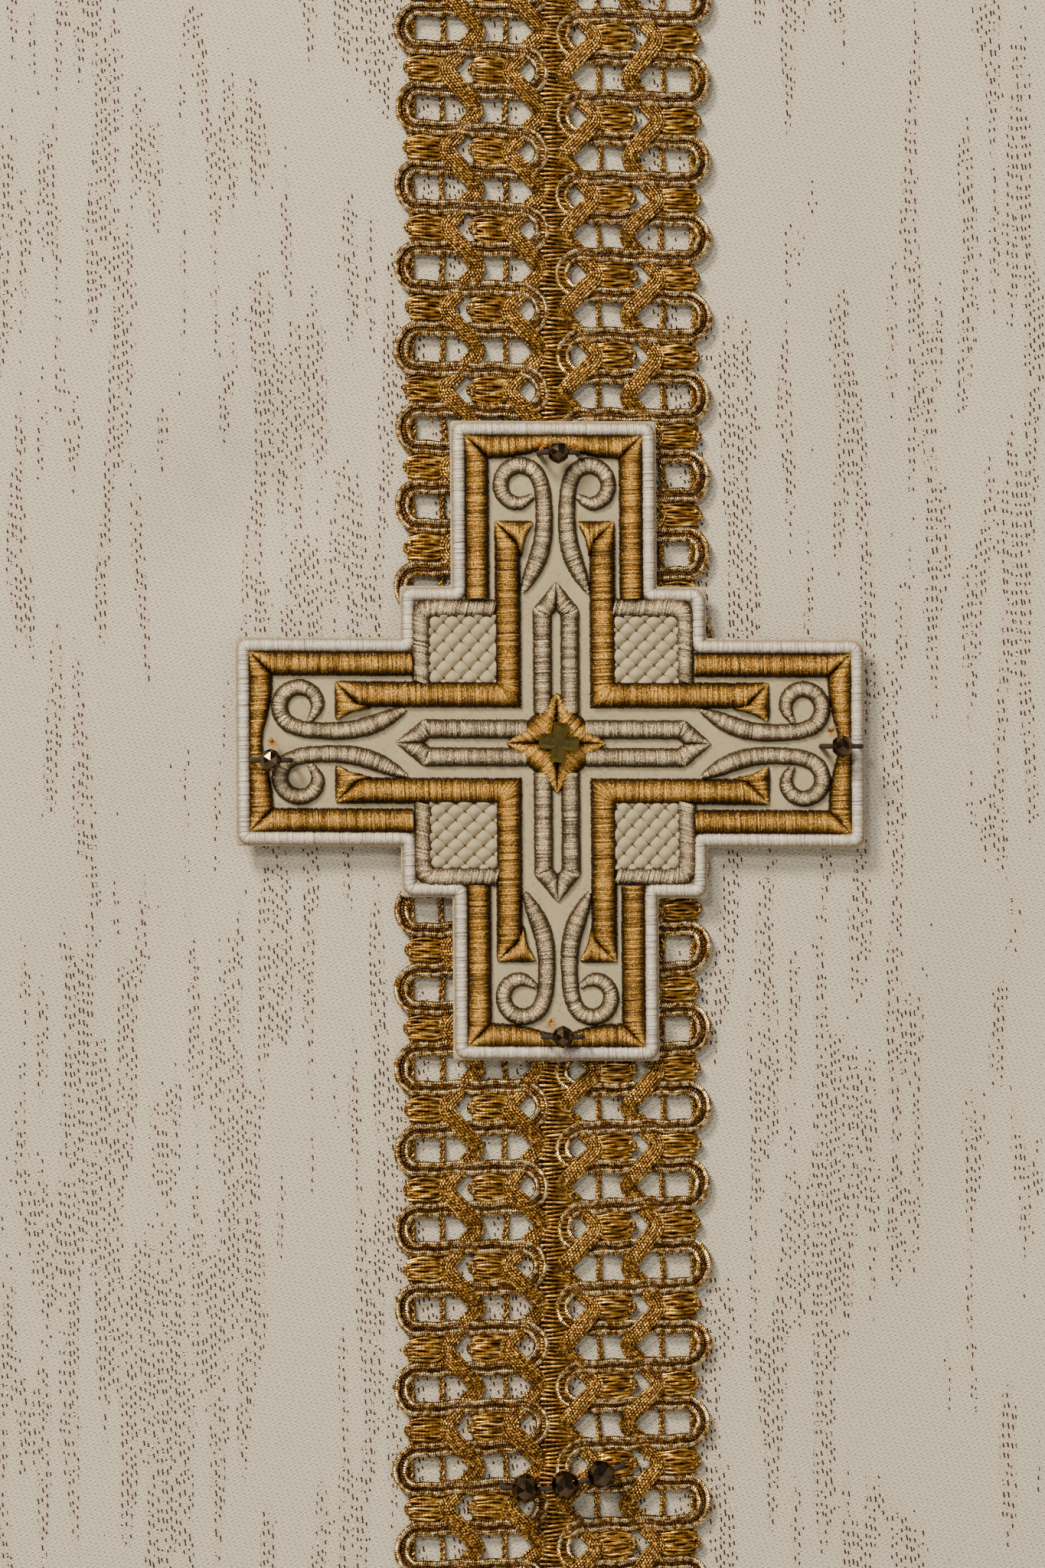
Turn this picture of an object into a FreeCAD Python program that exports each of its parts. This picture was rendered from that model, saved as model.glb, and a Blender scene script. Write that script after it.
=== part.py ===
"""A gothic chasuble, hung as it is worn, with a galloon column and an embroidered cross.

Millimetres. +Z up, the wearer faces -Y. The origin is the centre of the neck opening, level with
the two neck ends of the shoulder seams.
"""
import FreeCAD, Part
import bisect
import math
import os
import Sketcher

Vector = FreeCAD.Vector
XZ, YZ = "XZ_Plane", "YZ_Plane"

SIZES = {
    # the two cloth panels, cut flat, joined along the shoulder seams
    "panel_thickness": 1.2,
    "panel_half_width": 740,
    "panel_length": 1250,
    "hem_roundness": 2.4,
    "neck_half_width": 100,
    "front_neck_depth": 130,
    "back_neck_depth": 45,
    "shoulder_half_width": 210,
    "shoulder_slope": 15,
    "sleeve_slope": 55,
    # the rounding over chest and back, an arc that ends upright
    "chest_radius": 280,
    "back_radius": 240,
    "body_lean": 60,
    # the folds that fan out from each shoulder
    "fold_count": 4,
    "fold_lift": 0.18,
    "binding_width": 12,
    "binding_thickness": 3.2,
    # the woven gold column
    "sewing_gap": 0.2,
    "galloon_width": 40.4,
    "galloon_thickness": 1.5,
    # the appliqued cross, measured from its own centre
    "cross_drop": 400,
    "cross_reach": 41.6,
    "cross_arm": 13.6,
    "cross_step": 20.4,
    "felt_thickness": 1.2,
    "border_width": 1.7,
    "border_relief": 0.9,
    # the gold bracket round each arm's end
    "frame_reach": 39.7,
    "frame_half": 11.7,
    "frame_band": 3.0,
    "frame_foot": 18.9,
    # the gold angle in each corner, with a flared mitre at both ends
    "angle_outer": 7.9,
    "angle_inner": 4.8,
    "angle_reach": 28.6,
    "angle_flare": 1.4,
    # the square field in each corner and its border
    "corner_reach": 18.6,
    "corner_band": 2.1,
    "corner_foot": 8.2,
    "net_pitch": 1.65,
    "net_thread": 0.35,
    "lattice_relief": 0.5,
    # the scrolls, the spears and the lozenge
    "scroll_offset": 4.7,
    "scroll_height": 33.2,
    "scroll_radius": 3.3,
    "scroll_band": 1.7,
    "scroll_foot": 19.4,
    "scroll_near_curve": 11.9,
    "scroll_far_curve": 15.1,
    "spear_half": 2.9,
    "spear_band": 1.9,
    "spear_root": 5.7,
    "spear_shoulder": 17.6,
    "spear_tip": 21.2,
    "lozenge_half_width": 6.4,
    "lozenge_half_height": 6.4,
    "gold_relief": 1.1,
    "champagne_relief": 0.8,
    "lozenge_relief": 1.3,
    # the metal stud on the lozenge
    "stud_reach": 2.6,
    "stud_arm": 0.95,
    "stud_height": 1.4,
    "stud_chamfer": 0.5,
    "stud_turn": 6,
    # the faceted beads and the thread through each of them
    "end_bead_radius": 1.5,
    "row_bead_radius": 2.0,
    "bore_radius": 0.42,
    "thread_radius": 0.34,
    "bead_clearance": 0.45,
}

# where each end bead sits, from the centre of the cross
END_BEADS = {"top": (-0.1, 37.6), "left": (-37.4, -2.3), "right": (36.7, -0.5), "bottom": (0.5, -38.2)}
# the row of beads below the cross: centre and the lean of its bore, in degrees
ROW_BEADS = {"first": (-4.4, -97.0, -2.6), "second": (0.8, -96.6, 11.3), "third": (5.5, -95.2, 21.6)}

document = FreeCAD.newDocument("chasuble")
params = document.addObject("Spreadsheet::Sheet", "params")
for row, (alias, length) in enumerate(SIZES.items(), start=1):
    params.set("A%d" % row, alias)
    params.set("B%d" % row, str(length))
    params.setAlias("B%d" % row, alias)
document.recompute()

# heights of the layers in front of the panel's outer face, as expressions
CHEST_FACE = "params.chest_radius * (1 - cos(params.body_lean * 1 deg))"
GALLOON_BACK = "(%s + params.sewing_gap)" % CHEST_FACE
GALLOON_FACE = "(%s + params.galloon_thickness)" % GALLOON_BACK
FELT_FACE = "(%s + params.felt_thickness)" % GALLOON_FACE


def value(expression):
    """The number an expression over the sheet comes to."""
    return float(params.evalExpression(str(expression)))


def size(alias):
    """The number in one cell of the sheet."""
    return float(getattr(params, alias))


# ---------------------------------------------------------------- sketched pieces

def new_body(label):
    body = document.addObject("PartDesign::Body", label)
    body.Label = label
    return body


def new_sketch(body, role, name):
    sketch = body.newObject("Sketcher::SketchObject", name)
    plane = [feature for feature in body.Origin.OriginFeatures if feature.Role == role][0]
    sketch.AttachmentSupport = (plane, [""])
    sketch.MapMode = "FlatFace"
    return sketch


def bulged_middle(start, end, radius):
    """The middle of an arc; a positive radius bulges to the left of start-end."""
    chord = end - start
    half = chord.Length / 2
    sagitta = abs(radius) - math.sqrt(max(radius * radius - half * half, 0))
    left = Vector(-chord.y, chord.x, 0).normalize()
    return (start + end) / 2 + left * math.copysign(sagitta, radius)


def draw_outline(sketch, corners, bulges=None):
    """Closes lines and arcs through the corners, each corner bound to two expressions."""
    bulges = bulges or {}
    points = [Vector(value(across), value(up), 0) for across, up in corners]
    count = len(points)
    ends = []
    first = len(sketch.Geometry)
    for index in range(count):
        start, end = points[index], points[(index + 1) % count]
        if index in bulges:
            radius = value(bulges[index])
            middle = bulged_middle(start, end, radius)
            clockwise = radius > 0
            arc = Part.Arc(end, middle, start) if clockwise else Part.Arc(start, middle, end)
            sketch.addGeometry(arc, False)
            ends.append((2, 1) if clockwise else (1, 2))
        else:
            sketch.addGeometry(Part.LineSegment(start, end), False)
            ends.append((1, 2))
    for index in range(count):
        following = (index + 1) % count
        join = (first + index, ends[index][1], first + following, ends[following][0])
        sketch.addConstraint(Sketcher.Constraint("Coincident", *join))
    for index, corner in enumerate(corners):
        for kind, expression in zip(("DistanceX", "DistanceY"), corner):
            place = (-1, 1, first + index, ends[index][0], value(expression))
            number = sketch.addConstraint(Sketcher.Constraint(kind, *place))
            sketch.setExpression("Constraints[%d]" % number, str(expression))
    for index, radius in bulges.items():
        constraint = Sketcher.Constraint("Radius", first + index, abs(value(radius)))
        number = sketch.addConstraint(constraint)
        sketch.setExpression("Constraints[%d]" % number, "abs(%s)" % radius)


def pad(body, sketch, length, symmetric=False):
    feature = body.newObject("PartDesign::Pad", sketch.Name + "_pad")
    feature.Profile = sketch
    feature.SideType = "Symmetric" if symmetric else "One side"
    feature.setExpression("Length", length)
    document.recompute()
    return feature


def place_on_cross(piece, face, turn=0.0):
    """Stands a piece on a layer of the cross, turned about the cross's centre."""
    piece.Placement = FreeCAD.Placement(Vector(), FreeCAD.Rotation(Vector(0, 1, 0), turn))
    piece.setExpression("Placement.Base.y", "-" + face)
    piece.setExpression("Placement.Base.z", "-params.cross_drop")


def flat_piece(label, outlines, relief, face, turn=0.0):
    """A flat piece: one outline, then any outlines cut out of it."""
    body = new_body(label)
    sketch = new_sketch(body, XZ, label + "_outline")
    for corners, bulges in outlines:
        draw_outline(sketch, corners, bulges)
    pad(body, sketch, relief)
    place_on_cross(body, face, turn)
    return body


def signed(sign, expression):
    return "-" + expression if sign < 0 else expression


def stepped_cross(inset):
    """The outline of the cross, moved in by an expression."""
    reach = "(params.cross_reach - %s)" % inset
    arm = "(params.cross_arm - %s)" % inset
    step = "(params.cross_step - %s)" % inset
    quarter = [(arm, reach), (arm, step), (step, step), (step, arm), (reach, arm)]
    signs = [(1, 1), (1, -1), (-1, -1), (-1, 1)]
    corners = []
    for number, (right, up) in enumerate(signs):
        ordered = quarter if number % 2 == 0 else quarter[::-1]
        for across, height in ordered:
            corners.append((signed(right, across), signed(up, height)))
    return corners


ARMS = {"top": 0, "right": 90, "bottom": 180, "left": 270}
CORNERS = {"upper_left": 0, "upper_right": 90, "lower_right": 180, "lower_left": 270}


def make_cross_ground():
    flat_piece("cross_felt_base", [(stepped_cross("0"), None)], "params.felt_thickness", GALLOON_FACE)
    outlines = [(stepped_cross("0"), None), (stepped_cross("params.border_width"), None)]
    flat_piece("cross_edge_border", outlines, "params.border_relief", FELT_FACE)


def make_gold_frames():
    inner_half = "(params.frame_half - params.frame_band)"
    inner_reach = "(params.frame_reach - params.frame_band)"
    outer, foot, reach = "params.frame_half", "params.frame_foot", "params.frame_reach"
    corners = [("-" + outer, foot), ("-" + outer, reach), (outer, reach), (outer, foot),
               (inner_half, foot), (inner_half, inner_reach),
               ("-" + inner_half, inner_reach), ("-" + inner_half, foot)]
    for arm, turn in ARMS.items():
        flat_piece(arm + "_gold_frame", [(corners, None)], "params.gold_relief", FELT_FACE, turn)


def make_gold_angles():
    outer, inner = "params.angle_outer", "params.angle_inner"
    reach, flare = "params.angle_reach", "params.angle_flare"
    mitre = "(%s - %s - 1.5 * %s)" % (reach, inner, flare)
    tip = "(%s - %s)" % (inner, flare)
    corners = [("-" + outer, outer), ("-" + outer, reach), ("-" + tip, reach),
               ("-" + inner, "(%s + %s)" % (inner, mitre)), ("-" + inner, inner),
               ("-(%s + %s)" % (inner, mitre), inner), ("-" + reach, tip), ("-" + reach, outer)]
    for corner, turn in CORNERS.items():
        flat_piece(corner + "_gold_angle", [(corners, None)], "params.gold_relief", FELT_FACE, turn)


def make_corner_borders():
    reach, foot = "params.corner_reach", "params.corner_foot"
    inner = "(params.corner_reach - params.corner_band)"
    corners = [("-" + foot, reach), ("-" + reach, reach), ("-" + reach, foot),
               ("-" + inner, foot), ("-" + inner, inner), ("-" + foot, inner)]
    for corner, turn in CORNERS.items():
        label = corner + "_corner_border"
        flat_piece(label, [(corners, None)], "params.champagne_relief", FELT_FACE, turn)


def make_lattice_fields():
    """The padded square of each corner and the net of couched threads over it."""
    near, far = "params.angle_outer", "(params.corner_reach - params.corner_band)"
    square = [("-" + near, near), ("-" + near, far), ("-" + far, far), ("-" + far, near)]
    side = "(params.corner_reach - params.corner_band - params.angle_outer)"
    padded_face = "(%s + params.lattice_relief)" % FELT_FACE
    for corner, turn in CORNERS.items():
        flat_piece(corner + "_lattice_pad", [(square, None)], "params.lattice_relief", FELT_FACE, turn)
        cover = document.addObject("Part::Box", corner + "_net_square")
        cover.setExpression("Length", side)
        cover.setExpression("Height", side)
        cover.setExpression("Width", "params.net_thread")
        cover.setExpression("Placement.Base.x", "-%s - %s" % (near, side))
        cover.setExpression("Placement.Base.z", near)
        threads = []
        reach = int(0.8 * value(side) / size("net_pitch"))
        for slant in (45, -45):
            for step in range(-reach, reach):
                threads.append(net_thread(corner, slant, step, side))
        bundle = document.addObject("Part::MultiFuse", corner + "_net_threads")
        bundle.Shapes = threads
        net = document.addObject("Part::Common", corner + "_lattice_net")
        net.Base = cover
        net.Tool = bundle
        net.Label = corner + "_lattice_net"
        document.recompute()
        place_on_cross(net, "(%s + params.net_thread)" % padded_face, turn)


def net_thread(corner, slant, step, side):
    """One straight thread of a net, through the field's centre or beside it."""
    name = "%s_thread_%d_%d" % (corner, slant, step)
    bar = document.addObject("Part::Box", name)
    bar.setExpression("Length", "2 * " + side)
    bar.setExpression("Width", "params.net_thread")
    bar.setExpression("Height", "params.net_thread")
    turned = FreeCAD.Rotation(Vector(0, 1, 0), -slant)
    along = turned.multVec(Vector(1, 0, 0))
    across = turned.multVec(Vector(0, 0, 1))
    middle = "(params.angle_outer + 0.5 * %s)" % side
    bar.Placement = FreeCAD.Placement(Vector(), turned)
    for axis, sign in (("x", "-"), ("z", "")):
        shift = "%.6f * params.net_pitch - 0.5 * params.net_thread" % (step + 0.5)
        terms = (sign, middle, getattr(along, axis), side, getattr(across, axis), shift)
        bar.setExpression("Placement.Base." + axis, "%s%s - (%.6f) * %s + (%.6f) * (%s)" % terms)
    return bar


def make_scrolls():
    """Two mirrored scrolls on each arm: a ring that runs out into a tapering tail."""
    for arm, turn in ARMS.items():
        for name, side in (("left", "-"), ("right", "")):
            label = "%s_%s_scroll" % (arm, name)
            body = new_body(label)
            ring = new_sketch(body, XZ, label + "_ring")
            centre = Vector(value(side + "params.scroll_offset"), size("scroll_height"), 0)
            radii = ("params.scroll_radius", "params.scroll_radius - params.scroll_band")
            for radius in radii:
                circle = Part.Circle(centre, Vector(0, 0, 1), value(radius))
                number = ring.addGeometry(circle, False)
                fixed = (("DistanceX", (-1, 1, number, 3, centre.x), side + "params.scroll_offset"),
                         ("DistanceY", (-1, 1, number, 3, centre.y), "params.scroll_height"),
                         ("Radius", (number, value(radius)), radius))
                for kind, place, expression in fixed:
                    constraint = ring.addConstraint(Sketcher.Constraint(kind, *place))
                    ring.setExpression("Constraints[%d]" % constraint, expression)
            pad(body, ring, "params.champagne_relief")
            tail = new_sketch(body, XZ, label + "_tail")
            near = "(params.scroll_offset - params.scroll_radius)"
            far = "(params.scroll_offset - params.scroll_radius + params.scroll_band)"
            tip = "(params.scroll_offset - 0.2 * params.scroll_radius)"
            corners = [(side + near, "params.scroll_height"), (side + tip, "params.scroll_foot"),
                       (side + far, "params.scroll_height")]
            turn_side = "" if side == "-" else "-"
            bulges = {0: turn_side + "params.scroll_near_curve", 1: side + "params.scroll_far_curve"}
            draw_outline(tail, corners, bulges)
            pad(body, tail, "params.champagne_relief")
            place_on_cross(body, FELT_FACE, turn)


def make_spears():
    half, shoulder = "params.spear_half", "params.spear_shoulder"
    root, tip = "params.spear_root", "params.spear_tip"
    slim = "(params.spear_half - params.spear_band)"
    inner_tip = "(params.spear_tip - 1.6 * params.spear_band)"
    corners = [("-" + half, root), ("-" + half, shoulder), ("0", tip), (half, shoulder),
               (half, root), (slim, root), (slim, shoulder), ("0", inner_tip),
               ("-" + slim, shoulder), ("-" + slim, root)]
    for arm, turn in ARMS.items():
        label = arm + "_spear_outline"
        flat_piece(label, [(corners, None)], "params.champagne_relief", FELT_FACE, turn)


def make_centre():
    width, height = "params.lozenge_half_width", "params.lozenge_half_height"
    corners = [("0", height), (width, "0"), ("0", "-" + height), ("-" + width, "0")]
    flat_piece("centre_lozenge", [(corners, None)], "params.lozenge_relief", FELT_FACE)
    reach, arm = "params.stud_reach", "params.stud_arm"
    plus = []
    for right, up, turned in ((1, 1, False), (1, -1, True), (-1, -1, False), (-1, 1, True)):
        run = [(arm, reach), (arm, arm), (reach, arm)]
        for across, rise in (run[::-1] if turned else run):
            plus.append((signed(right, across), signed(up, rise)))
    face = "(%s + params.lozenge_relief)" % FELT_FACE
    stud = flat_piece("centre_cross_stud", [(plus, None)], "params.stud_height", face,
                      size("stud_turn"))
    base = stud.Tip
    chamfer = stud.newObject("PartDesign::Chamfer", "stud_chamfer")
    top = min(range(len(base.Shape.Faces)), key=lambda i: base.Shape.Faces[i].CenterOfMass.y)
    chamfer.Base = (base, ["Face%d" % (top + 1)])
    chamfer.setExpression("Size", "params.stud_chamfer")
    stud.Tip = chamfer
    document.recompute()


def make_galloons():
    make_galloon("front_galloon", "params.chest_radius", "params.front_neck_depth", -1)
    make_galloon("back_galloon", "params.back_radius", "params.back_neck_depth", 1)


def make_galloon(label, radius, neck_depth, side):
    """The gold column: an arc down from the neck, then straight to the hem."""
    lean = "params.body_lean * 1 deg"
    rise = "(tan(params.shoulder_slope * 1 deg) * params.neck_half_width)"
    start = "(%s + %s + 0.8 * params.binding_width)" % (neck_depth, rise)
    angle = "(%s - %s / (%s) * 180 / pi * 1 deg)" % (lean, start, radius)
    level = "(%s - %s * sin(%s))" % (rise, radius, lean)
    arc_length = "(%s * params.body_lean * pi / 180)" % radius
    hem = "(%s - (params.panel_length + %s - %s) + params.binding_width)" % (level, rise, arc_length)
    centre = "(%s * cos(%s))" % (radius, lean)
    near = "(%s + params.sewing_gap)" % radius
    far = "(%s + params.galloon_thickness)" % near
    sign = "-" if side < 0 else ""

    def across(reach, turned):
        return "%s(%s * cos(%s) - %s)" % (sign, reach, turned, centre)

    def up(reach, turned):
        return "(%s + %s * sin(%s))" % (level, reach, turned)

    flat = "0 deg"
    corners = [(across(near, angle), up(near, angle)), (across(near, flat), up(near, flat)),
               (across(near, flat), hem), (across(far, flat), hem),
               (across(far, flat), up(far, flat)), (across(far, angle), up(far, angle))]
    bulge = "" if side < 0 else "-"
    opposite = "-" if side < 0 else ""
    bulges = {0: opposite + near, 4: bulge + far}
    body = new_body(label)
    sketch = new_sketch(body, YZ, label + "_profile")
    draw_outline(sketch, corners, bulges)
    pad(body, sketch, "params.galloon_width", symmetric=True)


# ---------------------------------------------------------------- the draped cloth

class Drape:
    """Where a point of the flat panel hangs: an arched middle and a cone of folds each side."""

    def __init__(self, side, radius, neck_depth):
        self.side = side
        self.radius = radius
        self.neck_depth = neck_depth
        self.lean = math.radians(size("body_lean"))
        self.slope = math.tan(math.radians(size("shoulder_slope")))
        self.neck = size("neck_half_width")
        self.shoulder = size("shoulder_half_width")
        self.fan = math.radians(90 - size("shoulder_slope"))
        self.reach = math.radians(90 - size("sleeve_slope"))
        self.lift = size("fold_lift")
        self.folds = size("fold_count")
        self.half_width = size("panel_half_width")
        self.length = size("panel_length")
        self.roundness = size("hem_roundness")
        self.steps = 600
        self.lengths = self.fitted_lengths()

    def arch(self, run):
        """How far forward and how far down the cloth is after a run from the shoulder line."""
        turned = min(run / self.radius, self.lean)
        forward = self.radius * (math.cos(self.lean - turned) - math.cos(self.lean))
        drop = self.radius * (math.sin(self.lean) - math.sin(self.lean - turned))
        return forward, drop + max(run - self.radius * self.lean, 0)

    def shoulder_height(self, across):
        return self.slope * (self.neck - across)

    def direction(self, share, swing):
        """The direction of one line of the fan, from straight down to the sleeve seam."""
        out = self.reach * share
        lift = self.lift * 6.75 * share * share * (1 - share)
        wave = math.sin(math.pi * share) ** 2 * math.sin(2 * math.pi * self.folds * share)
        fore = lift + swing * wave
        return Vector(math.sin(out) * math.cos(fore), self.side * math.sin(fore),
                      -math.cos(out) * math.cos(fore))

    def fan_lengths(self, swing):
        lengths, total = [0.0], 0.0
        before = self.direction(0, swing)
        for step in range(1, self.steps + 1):
            here = self.direction(step / self.steps, swing)
            total += (here - before).Length
            lengths.append(total)
            before = here
        return lengths

    def fitted_lengths(self):
        """Swings the folds just enough to take up the whole flat angle of the panel."""
        low, high = 0.0, 1.5
        for _ in range(40):
            self.swing = (low + high) / 2
            lengths = self.fan_lengths(self.swing)
            if lengths[-1] < self.fan:
                low = self.swing
            else:
                high = self.swing
        return lengths

    def share_at(self, angle):
        step = bisect.bisect_left(self.lengths, min(angle, self.lengths[-1]), 1)
        before = self.lengths[step - 1]
        return (step - 1 + (angle - before) / (self.lengths[step] - before)) / self.steps

    def hem(self, across, up, step_across, step_up):
        """How far a straight line on the flat panel runs before it meets the rounded hem."""
        low, high = 0.0, 2 * self.length
        for _ in range(50):
            run = (low + high) / 2
            wide = abs(across + run * step_across) / self.half_width
            tall = abs(up + run * step_up) / self.length
            if wide ** self.roundness + tall ** self.roundness < 1:
                low = run
            else:
                high = run
        return low

    def middle(self, across, down):
        """A point of the arched middle; down runs from 0 at the top edge to 1 at the hem."""
        height = self.shoulder_height(across)
        start = 0.0
        if across < self.neck:
            start = self.neck_depth * math.sqrt(1 - (across / self.neck) ** 2) + height
        end = self.hem(across, height, 0, -1)
        forward, drop = self.arch(start + (end - start) * down)
        return Vector(across, self.side * forward, height - drop)

    def fold(self, angle, down):
        """A point of the fan; the angle runs from straight down to the seam."""
        top = self.shoulder_height(self.shoulder)
        end = self.hem(self.shoulder, top, math.sin(angle), -math.cos(angle))
        run = end * down
        forward, drop = self.arch(run)
        settle = math.cos(math.pi / 2 * angle / self.fan) ** 2
        point = self.direction(self.share_at(angle), self.swing) * run
        return point + Vector(self.shoulder, self.side * forward * settle, top + (run - drop) * settle)

    def half(self, rows, middle_columns, fold_columns):
        """Columns of points from the middle out to the sleeve seam."""
        downs = [row / rows for row in range(rows + 1)]
        columns = []
        for column in range(middle_columns + 1):
            across = self.shoulder * column / middle_columns
            columns.append([self.middle(across, down) for down in downs])
        for column in range(1, fold_columns + 1):
            angle = self.fan * column / fold_columns
            columns.append([self.fold(angle, down) for down in downs])
        return columns


def mirrored(column):
    return [Vector(-point.x, point.y, point.z) for point in column]


def inner_grid(grid, thickness, side):
    """The same grid, moved in by the cloth's thickness along its own normals."""
    last_column, last_row = len(grid) - 1, len(grid[0]) - 1
    inner = []
    for c, column in enumerate(grid):
        moved = []
        for r, point in enumerate(column):
            row = max(r, 1)
            along = grid[min(c + 1, last_column)][row] - grid[max(c - 1, 0)][row]
            down = column[min(row + 1, last_row)] - column[max(row - 1, 0)]
            normal = along.cross(down).normalize()
            moved.append(point - normal * (thickness * side))
        inner.append(moved)
    return inner


def knots(count, degree):
    """Evenly spaced clamped knots and their multiplicities."""
    spans = count - degree
    return list(range(spans + 1)), [degree + 1] + [1] * (spans - 1) + [degree + 1]


def smooth_surface(grid):
    across_knots, across_counts = knots(len(grid), 3)
    down_knots, down_counts = knots(len(grid[0]), 3)
    surface = Part.BSplineSurface()
    surface.buildFromPolesMultsKnots(grid, across_counts, down_counts, across_knots, down_knots,
                                     False, False, 3, 3)
    return surface


def border_curves(grid):
    """The four border curves of a surface made from this grid."""
    borders = [grid[0], [column[-1] for column in grid], grid[-1], [column[0] for column in grid]]
    curves = []
    for poles in borders:
        steps, counts = knots(len(poles), 3)
        curve = Part.BSplineCurve()
        curve.buildFromPolesMultsKnots(poles, counts, steps, False, 3)
        curves.append(curve.toShape())
    return curves


def cloth_solid(outer, inner):
    faces = [smooth_surface(outer).toShape(), smooth_surface(inner).toShape()]
    for near, far in zip(border_curves(outer), border_curves(inner)):
        faces.append(Part.makeRuledSurface(near, far))
    shell = Part.makeShell(faces)
    shell.sewShape(0.01)
    solid = Part.makeSolid(shell)
    if solid.Volume < 0:
        solid.reverse()
    return solid


def make_panel(label, drape):
    columns = drape.half(rows=44, middle_columns=10, fold_columns=42)
    grid = [mirrored(column) for column in columns[:0:-1]] + columns
    thickness = size("panel_thickness")
    panel = document.addObject("Part::Feature", label)
    panel.Label = label
    panel.Shape = cloth_solid(grid, inner_grid(grid, thickness, drape.side))
    return panel


def make_neck_binding(front, back):
    """A folded strip round the neck opening, over the edges of both panels."""
    quarter = 10
    stations = []
    for drape, turns in ((front, range(-quarter, quarter)), (back, range(quarter, -quarter, -1))):
        for turn in turns:
            across = drape.neck * math.sin(math.pi / 2 * turn / quarter)
            stations.append((drape, abs(across), math.copysign(1, across)))
    poles = []
    around = 8
    edges = []
    for drape, across, hand in stations:
        edge, below = drape.middle(across, 0.0), drape.middle(across, 0.01)
        edges.append((Vector(edge.x * hand, edge.y, edge.z), Vector(below.x * hand, below.y, below.z)))
    for number, (edge, below) in enumerate(edges):
        before, after = edges[number - 1][0], edges[(number + 1) % len(edges)][0]
        along = (after - before).normalize()
        down = (below - edge).normalize()
        out = along.cross(down).normalize()
        down = out.cross(along).normalize()
        middle = edge + down * (size("binding_width") * 0.3)
        ring = []
        for step in range(around):
            turned = 2 * math.pi * step / around
            wide = down * (math.cos(turned) * size("binding_width") / 2)
            deep = out * (math.sin(turned) * size("binding_thickness") / 2)
            ring.append(middle + wide + deep)
        poles.append(ring)
    surface = Part.BSplineSurface()
    surface.buildFromPolesMultsKnots(poles, [1] * (len(poles) + 1), [1] * (around + 1),
                                     list(range(len(poles) + 1)), list(range(around + 1)),
                                     True, True, 3, 3)
    solid = Part.Solid(Part.Shell([surface.toShape()]))
    if solid.Volume < 0:
        solid.reverse()
    binding = document.addObject("Part::Feature", "neck_binding")
    binding.Label = "neck_binding"
    binding.Shape = solid


# ---------------------------------------------------------------- beads and threads

def faceted_bead(radius, bore):
    """A cut bead about X: staggered rings of corners joined by flat facets, drilled through."""
    sides = 8
    rings = [(-0.84, 0.46, 0.0), (-0.52, 0.84, 0.5), (0.0, 1.0, 0.0), (0.52, 0.84, 0.5), (0.84, 0.46, 0.0)]
    corners = []
    for along, out, twist in rings:
        ring = []
        for step in range(sides):
            turned = 2 * math.pi * (step + twist) / sides
            ring.append(Vector(along, out * math.cos(turned), out * math.sin(turned)) * radius)
        corners.append(ring)
    faces = [flat_face(corners[0]), flat_face(corners[-1])]
    for number in range(len(rings) - 1):
        near, far = corners[number], corners[number + 1]
        lead = 0 if rings[number][2] == 0.0 else 1
        for step in range(sides):
            following = (step + 1) % sides
            tip = (step + lead) % sides
            faces.append(flat_face([near[step], near[following], far[tip]]))
            faces.append(flat_face([far[tip], far[(tip + 1) % sides], near[following]]))
    shell = Part.makeShell(faces)
    shell.sewShape()
    solid = Part.makeSolid(shell)
    if solid.Volume < 0:
        solid.reverse()
    hole = Part.makeCylinder(bore, 4 * radius, Vector(-2 * radius, 0, 0), Vector(1, 0, 0))
    return solid.cut(hole)


def flat_face(points):
    return Part.Face(Part.makePolygon(points + [points[0]]))


def thread_solid(points, radius, bend):
    """A round thread along straight runs joined by tangent arcs."""
    edges, start = [], points[0]
    for number in range(1, len(points) - 1):
        corner = points[number]
        back = (points[number - 1] - corner).normalize()
        on = (points[number + 1] - corner).normalize()
        half = back.getAngle(on) / 2
        cut = bend / math.tan(half)
        bisector = (back + on).normalize()
        middle = corner + bisector * (bend / math.sin(half) - bend)
        enter, leave = corner + back * cut, corner + on * cut
        edges.append(Part.LineSegment(start, enter).toShape())
        edges.append(Part.Arc(enter, middle, leave).toShape())
        start = leave
    edges.append(Part.LineSegment(start, points[-1]).toShape())
    path = Part.Wire(edges)
    heading = points[1] - points[0]
    section = Part.Wire([Part.makeCircle(radius, points[0], heading)])
    return path.makePipeShell([section], True, True)


def make_bead(label, centre, radius, lean):
    bead = document.addObject("Part::Feature", label)
    bead.Label = label
    bead.Shape = faceted_bead(radius, size("bore_radius"))
    turned = FreeCAD.Rotation(Vector(0, 1, 0), -lean)
    bead.Placement = FreeCAD.Placement(centre, turned)


def make_thread(label, points, bend):
    thread = document.addObject("Part::Feature", label)
    thread.Label = label
    thread.Shape = thread_solid(points, size("thread_radius"), bend)


def make_end_beads():
    radius = size("end_bead_radius")
    ground = value(FELT_FACE)
    level = -(ground + size("gold_relief") + size("bead_clearance") + radius)
    for name, (across, up) in END_BEADS.items():
        centre = Vector(across, level, up - size("cross_drop"))
        make_bead(name + "_end_bead", centre, radius, 0)
        run = radius + 3 * size("thread_radius")
        left, right = centre - Vector(run, 0, 0), centre + Vector(run, 0, 0)
        points = [Vector(left.x, -ground, left.z), left, right, Vector(right.x, -ground, right.z)]
        make_thread(name + "_bead_thread", points, 2.2 * size("thread_radius"))


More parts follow.
